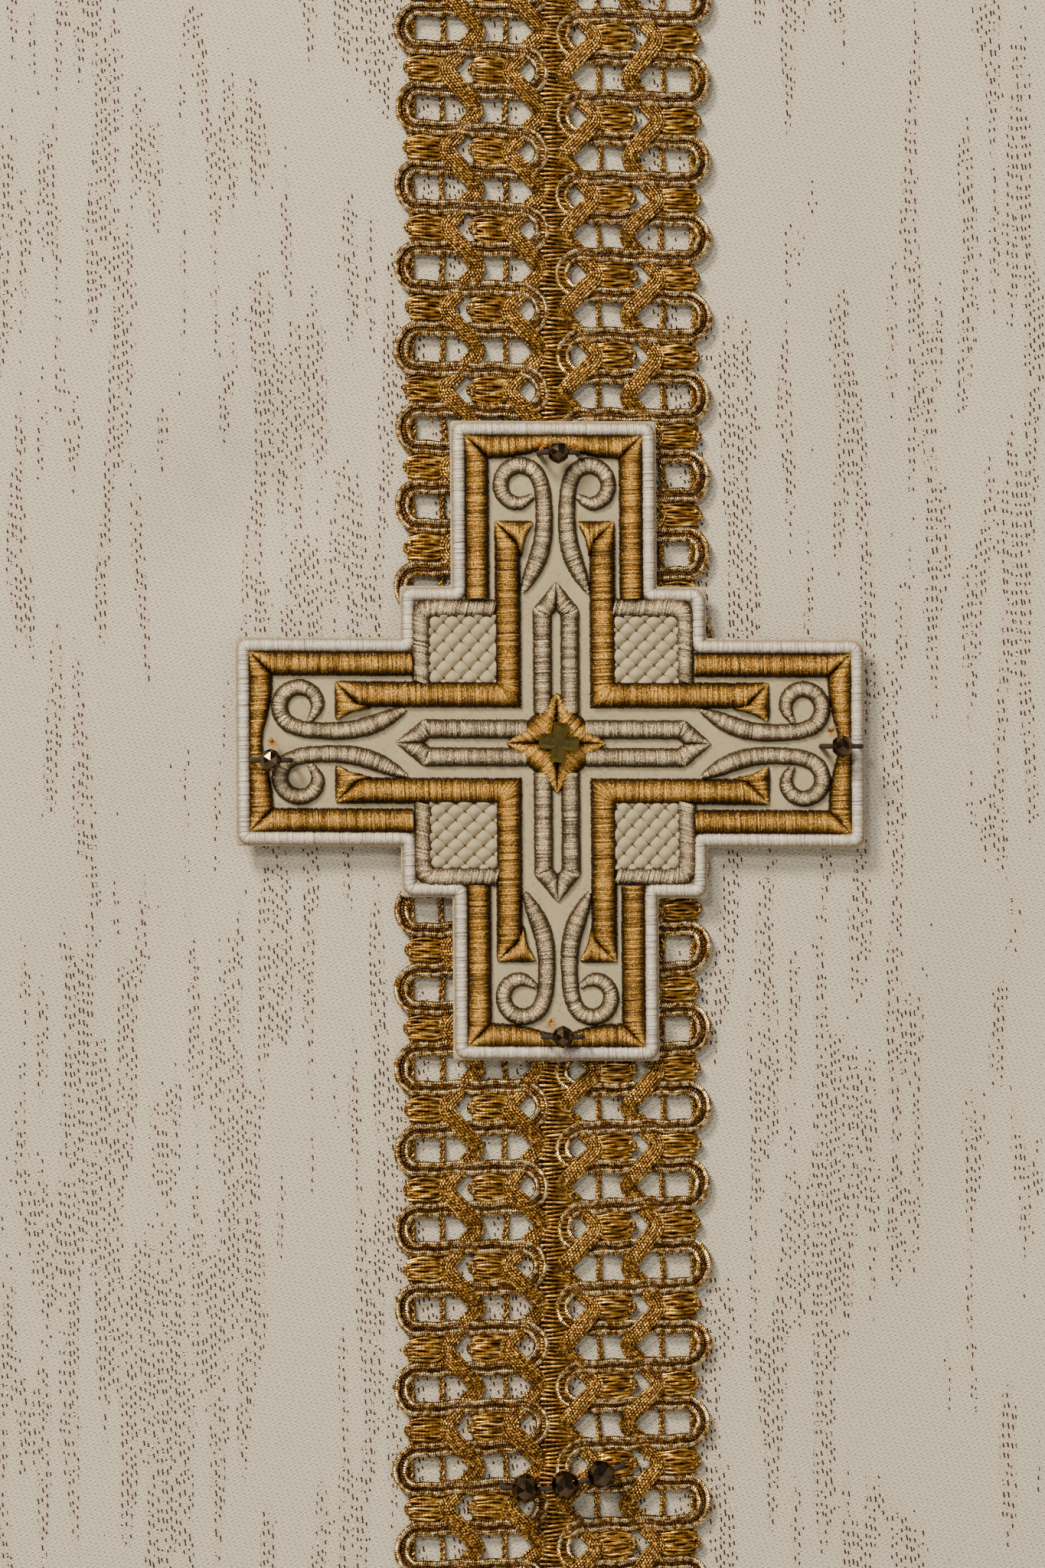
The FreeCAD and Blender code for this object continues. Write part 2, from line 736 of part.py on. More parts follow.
def make_row_beads():
    radius = size("row_bead_radius")
    ground = value(GALLOON_FACE)
    level = -(ground + size("bead_clearance") + radius)
    centres, headings = [], []
    for name, (across, up, lean) in ROW_BEADS.items():
        centre = Vector(across, level, up - size("cross_drop"))
        make_bead(name + "_row_bead", centre, radius, lean)
        centres.append(centre)
        headings.append(Vector(math.cos(math.radians(lean)), 0, math.sin(math.radians(lean))))
    run = radius + 3 * size("thread_radius")
    points = [centres[0] - headings[0] * run]
    for near, far, first, second in zip(centres, centres[1:], headings, headings[1:]):
        offset = far - near
        turn = first.x * second.z - first.z * second.x
        reach = (offset.x * second.z - offset.z * second.x) / turn
        points.append(near + first * reach)
    points.append(centres[-1] + headings[-1] * run)
    ends = [Vector(point.x, -ground, point.z) for point in (points[0], points[-1])]
    make_thread("row_bead_thread", [ends[0]] + points + [ends[1]], 2.2 * size("thread_radius"))


# ---------------------------------------------------------------- build and write

def build():
    front = Drape(-1, size("chest_radius"), size("front_neck_depth"))
    back = Drape(1, size("back_radius"), size("back_neck_depth"))
    make_panel("front_panel", front)
    make_panel("back_panel", back)
    make_neck_binding(front, back)
    make_galloons()
    make_cross_ground()
    make_gold_frames()
    make_gold_angles()
    make_corner_borders()
    make_lattice_fields()
    make_scrolls()
    make_spears()
    make_centre()
    make_end_beads()
    make_row_beads()
    document.recompute()


def sub_parts():
    """The labelled pieces that make up the object, without the features inside them."""
    inner = ("_net_square", "_net_threads", "_thread_")
    kept = []
    for item in document.Objects:
        made = item.TypeId in ("PartDesign::Body", "Part::Feature", "Part::Common")
        if made and not any(word in item.Name for word in inner):
            kept.append(item)
    return kept


def check_and_write():
    for item in document.Objects:
        if "Invalid" in item.State or "Error" in item.State:
            raise RuntimeError("%s did not build: %s" % (item.Name, item.State))
    os.makedirs("parts", exist_ok=True)
    for item in sub_parts():
        shape = item.Shape
        if shape.isNull() or not shape.isValid():
            raise RuntimeError("%s has no valid shape" % item.Label)
        box = shape.BoundBox
        spans = (box.XMin, box.XMax, box.YMin, box.YMax, box.ZMin, box.ZMax)
        print("%-28s %10.2f mm3" % (item.Label, shape.Volume), end="")
        print("  x %.1f..%.1f  y %.1f..%.1f  z %.1f..%.1f" % spans)
        shape.exportStep("parts/%s.step" % item.Label)


build()
check_and_write()
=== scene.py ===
"""A gothic chasuble: satin cloth with metal floats, a woven gold galloon, an embroidered cross.

Metres. +Z up, the wearer faces -Y. The origin is the middle of the neck opening.
"""
import math
import random
import bmesh
import bpy
import numpy as np
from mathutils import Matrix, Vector


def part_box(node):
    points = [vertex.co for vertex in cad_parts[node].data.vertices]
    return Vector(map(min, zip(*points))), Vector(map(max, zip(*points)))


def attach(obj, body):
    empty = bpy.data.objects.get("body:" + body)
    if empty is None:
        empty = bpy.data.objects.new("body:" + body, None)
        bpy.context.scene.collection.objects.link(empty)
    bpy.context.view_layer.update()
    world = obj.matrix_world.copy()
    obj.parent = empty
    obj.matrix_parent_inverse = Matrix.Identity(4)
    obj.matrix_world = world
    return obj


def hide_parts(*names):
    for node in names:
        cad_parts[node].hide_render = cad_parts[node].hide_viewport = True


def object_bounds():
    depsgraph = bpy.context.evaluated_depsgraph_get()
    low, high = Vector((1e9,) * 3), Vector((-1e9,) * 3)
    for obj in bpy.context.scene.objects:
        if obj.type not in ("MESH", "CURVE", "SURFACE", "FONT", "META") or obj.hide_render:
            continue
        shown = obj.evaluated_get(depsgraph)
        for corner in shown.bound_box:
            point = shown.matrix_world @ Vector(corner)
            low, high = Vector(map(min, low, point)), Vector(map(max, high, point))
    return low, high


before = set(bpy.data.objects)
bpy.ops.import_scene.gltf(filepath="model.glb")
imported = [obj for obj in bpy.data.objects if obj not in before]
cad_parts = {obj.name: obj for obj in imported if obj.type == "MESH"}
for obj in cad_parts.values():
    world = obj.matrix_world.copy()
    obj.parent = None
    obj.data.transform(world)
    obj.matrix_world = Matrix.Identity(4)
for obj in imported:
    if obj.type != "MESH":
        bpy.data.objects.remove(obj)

CAD_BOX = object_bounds()
MM = 0.001

# ------------------------------------------------------------------ sizes taken over from the cut
PANEL_THICKNESS = 1.2 * MM
PANEL_HALF_WIDTH = 740 * MM
PANEL_LENGTH = 1250 * MM
HEM_ROUNDNESS = 2.4
NECK_HALF_WIDTH = 100 * MM
NECK_DEPTH = {"front": 130 * MM, "back": 45 * MM}
SHOULDER_HALF_WIDTH = 210 * MM
SHOULDER_SLOPE = math.radians(15)
SLEEVE_SLOPE = math.radians(55)
BODY_RADIUS = {"front": 280 * MM, "back": 240 * MM}
BODY_LEAN = math.radians(60)
FOLD_COUNT = 4
FOLD_LIFT = 0.18
BINDING_WIDTH = 12 * MM
BINDING_THICKNESS = 3.2 * MM
SIDE = {"front": -1, "back": 1}

felt_low, felt_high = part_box("cross_felt_base")
CROSS_X = 0.5 * (felt_low[0] + felt_high[0])
CROSS_Z = 0.5 * (felt_low[2] + felt_high[2])
FELT_FACE = felt_low[1]
GALLOON_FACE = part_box("front_galloon")[0][1]
CHEST_FACE = -BODY_RADIUS["front"] * (1 - math.cos(BODY_LEAN))


# ------------------------------------------------------------------ colours and nodes

def linear_colour(hex_value):
    """An sRGB hex colour as linear RGBA."""
    channels = [int(hex_value[i:i + 2], 16) / 255 for i in (0, 2, 4)]
    linear = [c / 12.92 if c <= 0.04045 else ((c + 0.055) / 1.055) ** 2.4 for c in channels]
    return (*linear, 1.0)


def add(tree, kind, inputs=None, **settings):
    """Adds a node, sets its properties and fills its inputs with values or links."""
    node = tree.nodes.new(kind)
    for name, setting in settings.items():
        setattr(node, name, setting)
    for key, given in (inputs or {}).items():
        socket = node.inputs[key]
        if isinstance(given, bpy.types.NodeSocket):
            tree.links.new(given, socket)
        else:
            socket.default_value = given
    return node


def calc(tree, operation, first, second=0.0, third=0.0, clamp=False):
    """One arithmetic step; returns its output."""
    inputs = {0: first, 1: second, 2: third}
    return add(tree, "ShaderNodeMath", inputs, operation=operation, use_clamp=clamp).outputs[0]


def blend_colour(tree, share, first, second):
    node = add(tree, "ShaderNodeMix", {0: share, 6: first, 7: second}, data_type="RGBA")
    return node.outputs[2]


def noise(tree, vector, scale, detail=2.0, roughness=0.5):
    inputs = {"Vector": vector, "Scale": scale, "Detail": detail, "Roughness": roughness}
    return add(tree, "ShaderNodeTexNoise", inputs).outputs[0]


def ramp(tree, value, low, high):
    """0 below low, 1 above high, smooth between."""
    inputs = {"Value": value, "From Min": low, "From Max": high}
    return add(tree, "ShaderNodeMapRange", inputs, interpolation_type="SMOOTHSTEP").outputs[0]


def new_material(name):
    """A material with a Principled shader; returns the material, its tree and the shader."""
    material = bpy.data.materials.new(name)
    material.use_nodes = True
    tree = material.node_tree
    return material, tree, tree.nodes["Principled BSDF"]


def attribute(tree, name):
    return add(tree, "ShaderNodeAttribute", attribute_name=name).outputs["Fac"]


# ------------------------------------------------------------------ materials

def satin_cloth():
    """Polyester satin with metal floats: a soft sheen, a fine slanted grain, bright and dark dashes."""
    material, tree, shader = new_material("satin with metal floats")
    uv = add(tree, "ShaderNodeUVMap", uv_map="cut").outputs[0]
    split = add(tree, "ShaderNodeSeparateXYZ", {0: uv})
    across, along = split.outputs[0], split.outputs[1]
    # weft bumps 0.42 mm long and 0.21 mm high, stepping along a slant
    wander = noise(tree, uv, 1 / (1.6 * MM), 1.0)
    wobble = calc(tree, "MULTIPLY", wander, 5.0)
    step = calc(tree, "MULTIPLY", across, math.tau / (0.46 * MM))
    rise = calc(tree, "MULTIPLY", along, math.tau / (0.23 * MM))
    slant = calc(tree, "MULTIPLY", across, math.tau / (1.1 * MM))
    rows = calc(tree, "SINE", calc(tree, "ADD", calc(tree, "ADD", rise, slant), wobble))
    bumps = calc(tree, "SINE", calc(tree, "ADD", step, calc(tree, "MULTIPLY", rise, 0.5)))
    grain = calc(tree, "MULTIPLY_ADD", bumps, 0.45, rows)
    # binding points of the satin, small pits on a slanted lattice 1.45 mm apart
    lean_u = calc(tree, "ADD", across, calc(tree, "MULTIPLY", along, 0.36))
    lean_v = calc(tree, "SUBTRACT", along, calc(tree, "MULTIPLY", across, 0.30))
    pit_u = calc(tree, "SINE", calc(tree, "MULTIPLY", lean_u, math.tau / (1.45 * MM)))
    pit_v = calc(tree, "SINE", calc(tree, "MULTIPLY", lean_v, math.tau / (0.62 * MM)))
    pits = ramp(tree, calc(tree, "MULTIPLY", pit_u, pit_v), 0.80, 0.97)
    # metal floats: warp ends 0.58 mm apart, each float about 0.6 mm long, leaning a little
    dash_pitch, dash_run = 0.58 * MM, 1.3 * MM
    column = calc(tree, "FLOOR", calc(tree, "DIVIDE", across, dash_pitch))
    luck = add(tree, "ShaderNodeTexWhiteNoise", {"W": column}, noise_dimensions="1D").outputs[0]
    shift = calc(tree, "MULTIPLY", luck, 7.3)
    jitter = calc(tree, "MULTIPLY", noise(tree, uv, 1 / (3.1 * MM), 0.0), 0.9)
    place = calc(tree, "ADD", calc(tree, "DIVIDE", along, dash_run), calc(tree, "ADD", shift, jitter))
    cell = calc(tree, "FLOOR", place)
    within = calc(tree, "SUBTRACT", place, cell)
    cell_seed = add(tree, "ShaderNodeCombineXYZ", {0: column, 1: cell})
    fate = add(tree, "ShaderNodeTexWhiteNoise", {0: cell_seed.outputs[0]}, noise_dimensions="3D")
    fate_value = fate.outputs[0]
    lean = calc(tree, "MULTIPLY", calc(tree, "SUBTRACT", within, 0.5), -0.42)
    spread = calc(tree, "MULTIPLY", calc(tree, "SUBTRACT", fate_value, 0.5), 0.55)
    beside = calc(tree, "FRACT", calc(tree, "DIVIDE", across, dash_pitch))
    offset = calc(tree, "SUBTRACT", calc(tree, "SUBTRACT", beside, 0.5), calc(tree, "ADD", lean, spread))
    reach = calc(tree, "ABSOLUTE", offset)
    line = calc(tree, "SUBTRACT", 1.0, ramp(tree, reach, 0.14, 0.24))
    length = calc(tree, "MULTIPLY_ADD", fate_value, 0.16, 0.15)
    end = calc(tree, "SUBTRACT", calc(tree, "ABSOLUTE", calc(tree, "SUBTRACT", within, 0.5)), length)
    dash = calc(tree, "MULTIPLY", line, calc(tree, "SUBTRACT", 1.0, ramp(tree, end, -0.02, 0.05)))
    # the floats come in streaks: a few ends wide, a few centimetres long, fading in and out
    streak_place = add(tree, "ShaderNodeMapping", {0: uv, 3: (1 / (11 * MM), 1 / (80 * MM), 1.0)})
    streak = noise(tree, streak_place.outputs[0], 1.0, 2.0, 0.62)
    fine_place = add(tree, "ShaderNodeMapping", {0: uv, 3: (1 / (2.4 * MM), 1 / (26 * MM), 1.0)})
    fine = noise(tree, fine_place.outputs[0], 1.0, 0.0)
    level = calc(tree, "MULTIPLY_ADD", fine, 0.75, streak)
    inside = ramp(tree, level, 0.87, 0.98)
    rare = calc(tree, "LESS_THAN", fate_value, calc(tree, "MULTIPLY", inside, 0.85))
    dash = calc(tree, "MULTIPLY", dash, rare)
    # colours: cream, pinker inside a streak, painted shade in the valleys and pits of the weave, painted
    # dark reflection and painted glints on the floats
    mottle = noise(tree, uv, 1 / (0.5 * MM), 3.0, 0.7)
    cream = blend_colour(tree, mottle, linear_colour("B7AD93"), linear_colour("E4DBC4"))
    warm = calc(tree, "MULTIPLY", inside, 0.35)
    cream = blend_colour(tree, warm, cream, linear_colour("C9AD8E"))
    # painted shade: the valleys of the weave grain are darkened as well as bumped
    painted_valley_shade = ramp(tree, calc(tree, "MULTIPLY", grain, -1.0), 0.25, 1.4)
    cream = blend_colour(tree, calc(tree, "MULTIPLY", painted_valley_shade, 0.62), cream, linear_colour("7C6F58"))
    # painted shade: the binding pits are darkened as well as sunk
    cream = blend_colour(tree, calc(tree, "MULTIPLY", pits, 1.0), cream, linear_colour("4E4030"))
    # painted light on the metal floats: dark painted reflection, with painted glints where a noise is high
    glint = noise(tree, uv, 1 / (0.7 * MM), 1.0)
    bright = ramp(tree, glint, 0.62, 0.66)
    float_painted_glint_and_shade = blend_colour(tree, bright, linear_colour("301C0E"), linear_colour("FFF2DC"))
    tint = blend_colour(tree, dash, cream, float_painted_glint_and_shade)
    tree.links.new(tint, shader.inputs["Base Color"])
    tree.links.new(calc(tree, "MULTIPLY", dash, 0.35), shader.inputs["Metallic"])
    rough = calc(tree, "SUBTRACT", 0.56, calc(tree, "MULTIPLY", dash, 0.26))
    tree.links.new(rough, shader.inputs["Roughness"])
    shader.inputs["Sheen Weight"].default_value = 0.15
    shader.inputs["Sheen Roughness"].default_value = 0.4
    height = calc(tree, "SUBTRACT", calc(tree, "MULTIPLY_ADD", dash, 1.2, grain), pits)
    bump = add(tree, "ShaderNodeBump", {"Height": height, "Strength": 0.8, "Distance": 0.045 * MM})
    tree.links.new(bump.outputs[0], shader.inputs["Normal"])
    return material


def binding_cloth():
    """Satin cut on the bias and folded: the same cream, with a diagonal rib."""
    material, tree, shader = new_material("satin bias binding")
    place = add(tree, "ShaderNodeTexCoord").outputs["Object"]
    rib = add(tree, "ShaderNodeTexWave", {"Vector": place, "Scale": 1 / (6 * MM), "Distortion": 0.4},
              bands_direction="DIAGONAL").outputs["Fac"]
    mottle = noise(tree, place, 1 / (0.8 * MM), 2.0)
    tint = blend_colour(tree, mottle, linear_colour("B9AF9D"), linear_colour("DAD1C1"))
    tree.links.new(tint, shader.inputs["Base Color"])
    shader.inputs["Roughness"].default_value = 0.52
    shader.inputs["Sheen Weight"].default_value = 0.15
    bump = add(tree, "ShaderNodeBump", {"Height": rib, "Strength": 0.4, "Distance": 0.08 * MM})
    tree.links.new(bump.outputs[0], shader.inputs["Normal"])
    return material


def stitched_thread(name, dark, middle, light, metallic, roughness, sparkle=0.7):
    """Rayon or metal embroidery thread: each stitch its own tone, painted broken glints along it, a painted
    highlight on each stitch's crest and painted shade at its feet.
    """
    material, tree, shader = new_material(name)
    place = add(tree, "ShaderNodeTexCoord").outputs["Object"]
    tone = attribute(tree, "tone")
    # painted light: the speck noise picks dark painted shade, the middle colour or bright painted glints
    # along the thread, and bumps it too
    speck = noise(tree, place, 1 / (0.13 * MM), 3.0, 0.8)
    share = calc(tree, "MULTIPLY_ADD", tone, 0.10, speck)
    # painted highlight on the crest of each stitch and painted shade towards its feet
    share = calc(tree, "MULTIPLY_ADD", attribute(tree, "crest"), 0.46, calc(tree, "SUBTRACT", share, 0.38))
    tint = blend_colour(tree, ramp(tree, share, 0.44, 0.58), linear_colour(dark), linear_colour(middle))
    tint = blend_colour(tree, ramp(tree, share, 0.57, 0.70), tint, linear_colour(light))
    tree.links.new(tint, shader.inputs["Base Color"])
    shader.inputs["Metallic"].default_value = metallic
    shader.inputs["Roughness"].default_value = roughness
    bump = add(tree, "ShaderNodeBump", {"Height": speck, "Strength": sparkle, "Distance": 0.11 * MM})
    tree.links.new(bump.outputs[0], shader.inputs["Normal"])
    return material


def cream_felt():
    """Wool felt: matt cream, with a short fuzz of crossed fibres."""
    material, tree, shader = new_material("cream wool felt")
    place = add(tree, "ShaderNodeTexCoord").outputs["Object"]
    fibre = noise(tree, place, 1 / (0.25 * MM), 4.0, 0.75)
    cloud = noise(tree, place, 1 / (3.0 * MM), 2.0)
    share = calc(tree, "MULTIPLY_ADD", cloud, 0.5, calc(tree, "MULTIPLY", fibre, 0.6))
    tint = blend_colour(tree, share, linear_colour("867856"), linear_colour("AEA07E"))
    tree.links.new(tint, shader.inputs["Base Color"])
    shader.inputs["Roughness"].default_value = 0.92
    shader.inputs["Sheen Weight"].default_value = 0.45
    shader.inputs["Sheen Roughness"].default_value = 0.5
    bump = add(tree, "ShaderNodeBump", {"Height": fibre, "Strength": 0.6, "Distance": 0.12 * MM})
    tree.links.new(bump.outputs[0], shader.inputs["Normal"])
    return material


def wound_coordinates(tree):
    """Along and around a cord, both from its own attributes."""
    return attribute(tree, "along"), attribute(tree, "around")


def wrapped_gimp():
    """Gimp: a cord wound with flat gilt wire, with painted glints in patches along its turns and painted
    shade between them.
    """
    material, tree, shader = new_material("gilt wire gimp")
    along, turn = wound_coordinates(tree)
    place = add(tree, "ShaderNodeTexCoord").outputs["Object"]
    phase = calc(tree, "MULTIPLY_ADD", along, 1 / (0.30 * MM), turn)
    wave = calc(tree, "SINE", calc(tree, "MULTIPLY", phase, math.tau))
    # painted glints: a noise picks bright patches on the gilt
    patch = noise(tree, place, 1 / (0.7 * MM), 3.0, 0.7)
    shine = ramp(tree, patch, 0.43, 0.60)
    gold = blend_colour(tree, shine, linear_colour("7E5214"), linear_colour("FFE6AC"))
    # painted shade between the turns of the wire and where the noise is low
    painted_gap_shade = ramp(tree, calc(tree, "MULTIPLY_ADD", patch, -0.8, calc(tree, "MULTIPLY", wave, -1.0)), 0.0, 0.6)
    tint = blend_colour(tree, calc(tree, "MULTIPLY", painted_gap_shade, 0.8), gold, linear_colour("2E1A06"))
    tree.links.new(tint, shader.inputs["Base Color"])
    shader.inputs["Metallic"].default_value = 0.95
    shader.inputs["Roughness"].default_value = 0.24
    bump = add(tree, "ShaderNodeBump", {"Height": wave, "Strength": 0.7, "Distance": 0.06 * MM})
    tree.links.new(bump.outputs[0], shader.inputs["Normal"])
    return material


def gold_yarn(name, dark, middle, light, twist=0.05, streak=1.0):
    """Twisted viscose with a metal ply: a slant of twist on every strand, or long streaks across; a noise
    paints glints and shade on it.
    """
    material, tree, shader = new_material(name)
    along, turn = wound_coordinates(tree)
    place = add(tree, "ShaderNodeTexCoord").outputs["Object"]
    drawn = add(tree, "ShaderNodeVectorMath", {0: place, 1: (1 / streak, 1, 1)}, operation="MULTIPLY")
    phase = calc(tree, "MULTIPLY_ADD", along, 1 / (0.44 * MM), turn)
    wave = calc(tree, "SINE", calc(tree, "MULTIPLY", phase, math.tau))
    # painted light: this noise, with a little of the twist, picks dark painted shade, the middle colour or
    # bright painted glints
    patch = noise(tree, drawn.outputs[0], 1 / (0.45 * MM), 3.0, 0.75)
    share = calc(tree, "MULTIPLY_ADD", wave, twist, patch)
    gold = blend_colour(tree, ramp(tree, share, 0.38, 0.54), linear_colour(dark), linear_colour(middle))
    gold = blend_colour(tree, ramp(tree, share, 0.53, 0.68), gold, linear_colour(light))
    tree.links.new(gold, shader.inputs["Base Color"])
    shader.inputs["Metallic"].default_value = 0.7
    shader.inputs["Roughness"].default_value = 0.29
    bump = add(tree, "ShaderNodeBump", {"Height": wave, "Strength": 10 * twist, "Distance": 0.04 * MM})
    tree.links.new(bump.outputs[0], shader.inputs["Normal"])
    return material


def polished_metal(name, dark, light, roughness):
    """Plated metal, polished: nearly a mirror, with faint handling marks."""
    material, tree, shader = new_material(name)
    place = add(tree, "ShaderNodeTexCoord").outputs["Object"]
    mark = noise(tree, place, 1 / (0.6 * MM), 3.0, 0.6)
    tint = blend_colour(tree, mark, linear_colour(dark), linear_colour(light))
    tree.links.new(tint, shader.inputs["Base Color"])
    shader.inputs["Metallic"].default_value = 1.0
    tree.links.new(calc(tree, "MULTIPLY_ADD", mark, 0.10, roughness), shader.inputs["Roughness"])
    return material


MATERIALS = {
    "satin_cloth": satin_cloth(),
    "binding_cloth": binding_cloth(),
    "cream_felt": cream_felt(),
    "cream_thread": stitched_thread("cream rayon thread", "8C7E68", "B6A994", "EADFCA", 0.15, 0.36, 0.5),
    "gold_thread": stitched_thread("gilt embroidery thread", "2A1804", "7E540E", "F4C468", 0.88, 0.26, 1.0),
    "champagne_thread": stitched_thread("champagne embroidery thread", "38291A", "806B49", "F8E3BC",
                                        0.70, 0.30, 1.0),
    "net_thread": stitched_thread("fine couching thread", "4A3210", "8A6830", "E8CC90", 0.6, 0.35, 0.5),
    # painted shade: the two paddings are coloured dark, so that the gaps between the stitches show dark as
    # shade
    "padding": stitched_thread("padding cord under the stitches", "201405", "33220A", "443010", 0.0, 0.8),
    "pale_padding": stitched_thread("pale padding under the stitches", "463A2A", "5E503C", "74664E",
                                    0.0, 0.8),
    "gimp": wrapped_gimp(),
    "gold_yarn": gold_yarn("twisted gold yarn", "341E04", "7E5410", "F8CA68"),
    "gold_floss": gold_yarn("straight gold floss", "3A2204", "8C6010", "FBD477", 0.012, 5.0),
    "core_yarn": gold_yarn("brown core yarn", "1E1003", "4E310A", "8A5C14"),
    "dark_gold_metal": polished_metal("dark gilt metal", "6A5C30", "8C7C46", 0.18),
    "bronze_bead": polished_metal("bronze-coated cut glass", "2E241A", "6A5844", 0.05),
    "sewing_thread": stitched_thread("orange sewing thread", "A8660E", "DE9420", "F2B648", 0.0, 0.6),
}


# ------------------------------------------------------------------ meshes

def mesh_object(name, points, faces, material, smooth=True):
    """A mesh with its material, placed by its own points."""
    mesh = bpy.data.meshes.new(name)
    mesh.from_pydata([tuple(point) for point in points], [], faces)
    mesh.materials.append(MATERIALS[material])
    if smooth:
        mesh.shade_smooth()
    mesh.update()
    obj = bpy.data.objects.new(name, mesh)
    bpy.context.scene.collection.objects.link(obj)
    return obj


def plain_mesh(obj):
    """Turns an object with modifiers into its finished mesh, with none left on it."""
    graph = bpy.context.evaluated_depsgraph_get()
    mesh = bpy.data.meshes.new_from_object(obj.evaluated_get(graph), depsgraph=graph)
    name = obj.name
    bpy.data.objects.remove(obj)
    finished = bpy.data.objects.new(name, mesh)
    bpy.context.scene.collection.objects.link(finished)
    return finished


def polyline_curves(name, lines):
    """A curve object of straight-sided splines; each line is (points, radii)."""
    curve = bpy.data.curves.new(name, "CURVE")
    curve.dimensions = "3D"
    for points, radii in lines:
        spline = curve.splines.new("POLY")
        spline.points.add(len(points) - 1)
        flat = [value for point in points for value in (*point, 1.0)]
        spline.points.foreach_set("co", flat)
        spline.points.foreach_set("radius", list(radii))
    obj = bpy.data.objects.new(name, curve)
    bpy.context.scene.collection.objects.link(obj)
    return obj


# ------------------------------------------------------------------ geometry node trees

def new_tree(name, inputs):
    """A geometry tree with named inputs: {name: (socket kind, default)}."""
    tree = bpy.data.node_groups.new(name, "GeometryNodeTree")
    tree.is_modifier = True
    tree.interface.new_socket("Geometry", in_out="INPUT", socket_type="NodeSocketGeometry")
    for label, (kind, default) in inputs.items():
        socket = tree.interface.new_socket(label, in_out="INPUT", socket_type=kind)
        if default is not None:
            socket.default_value = default
    tree.interface.new_socket("Geometry", in_out="OUTPUT", socket_type="NodeSocketGeometry")
    return tree, tree.nodes.new("NodeGroupInput"), tree.nodes.new("NodeGroupOutput")


def run_tree(obj, tree, values):
    """Puts a tree on an object, sets its inputs and returns the finished mesh object."""
    modifier = obj.modifiers.new(tree.name, "NODES")
    modifier.node_group = tree
    for item in tree.interface.items_tree:
        if item.in_out == "INPUT" and item.name in values:
            modifier[item.identifier] = values[item.name]
    return plain_mesh(obj)


def satin_stitch_tree():
    """Lays an arched stitch on every marked point of a padding, along the point's run."""
    inputs = {
        "Stitch": ("NodeSocketObject", None),
        "Uneven": ("NodeSocketFloat", 0.14),
        "Turn": ("NodeSocketFloat", 0.05),
        "Thread": ("NodeSocketMaterial", None),
        "Seed": ("NodeSocketInt", 1),
    }
    tree, source, sink = new_tree("satin stitches", inputs)
    given = source.outputs
    run = add(tree, "GeometryNodeInputNamedAttribute", {"Name": "run"}, data_type="FLOAT_VECTOR").outputs[0]
    parts = add(tree, "ShaderNodeSeparateXYZ", {0: run})
    lift = parts.outputs[1]
    level = add(tree, "ShaderNodeCombineXYZ", {0: parts.outputs[0], 2: parts.outputs[2]}).outputs[0]
    half = add(tree, "ShaderNodeVectorMath", {0: level}, operation="LENGTH").outputs["Value"]
    raised = add(tree, "GeometryNodeInputNamedAttribute", {"Name": "raise"}, data_type="FLOAT").outputs[0]
    down = add(tree, "ShaderNodeCombineXYZ", {1: raised}).outputs[0]
    feet = add(tree, "GeometryNodeSetPosition", {"Geometry": given["Geometry"], "Offset": down})
    turn = add(tree, "FunctionNodeAxesToRotation",
               {"Primary Axis": (0.0, -1.0, 0.0), "Secondary Axis": level},
               primary_axis="Z", secondary_axis="Y").outputs[0]
    least = calc(tree, "SUBTRACT", 1.0, given["Uneven"])
    most = calc(tree, "ADD", 1.0, given["Uneven"])
    vary = add(tree, "FunctionNodeRandomValue", {2: least, 3: most, 8: given["Seed"]},
               data_type="FLOAT").outputs[1]
    scale = add(tree, "ShaderNodeCombineXYZ", {0: vary, 1: half, 2: calc(tree, "MULTIPLY", lift, vary)})
    low = calc(tree, "MULTIPLY", given["Turn"], -1.0)
    swing = add(tree, "FunctionNodeRandomValue", {2: low, 3: given["Turn"], 8: given["Seed"]},
                data_type="FLOAT").outputs[1]
    swung = add(tree, "FunctionNodeAxisAngleToRotation", {0: (0.0, 0.0, 1.0), 1: swing})
    turn = add(tree, "FunctionNodeRotateRotation", {0: turn, 1: swung.outputs[0]},
               rotation_space="LOCAL").outputs[0]
    stitch = add(tree, "GeometryNodeObjectInfo", {"Object": given["Stitch"]})
    marked = add(tree, "FunctionNodeCompare", {0: half, 1: 0.02 * MM}, data_type="FLOAT",
                 operation="GREATER_THAN").outputs[0]
    placed = add(tree, "GeometryNodeInstanceOnPoints",
                 {"Points": feet.outputs[0], "Selection": marked,
                  "Instance": stitch.outputs["Geometry"], "Rotation": turn, "Scale": scale.outputs[0]})
    tone = add(tree, "FunctionNodeRandomValue", {2: 0.0, 3: 1.0, 8: given["Seed"]}, data_type="FLOAT")
    toned = add(tree, "GeometryNodeStoreNamedAttribute",
                {"Geometry": placed.outputs[0], "Name": "tone", "Value": tone.outputs[1]},
                data_type="FLOAT", domain="INSTANCE")
    real = add(tree, "GeometryNodeRealizeInstances", {0: toned.outputs[0]})
    threads = add(tree, "GeometryNodeSetMaterial", {0: real.outputs[0], "Material": given["Thread"]})
    joined = tree.nodes.new("GeometryNodeJoinGeometry")
    tree.links.new(threads.outputs[0], joined.inputs[0])
    tree.links.new(given["Geometry"], joined.inputs[0])
    tree.links.new(joined.outputs[0], sink.inputs[0])
    return tree


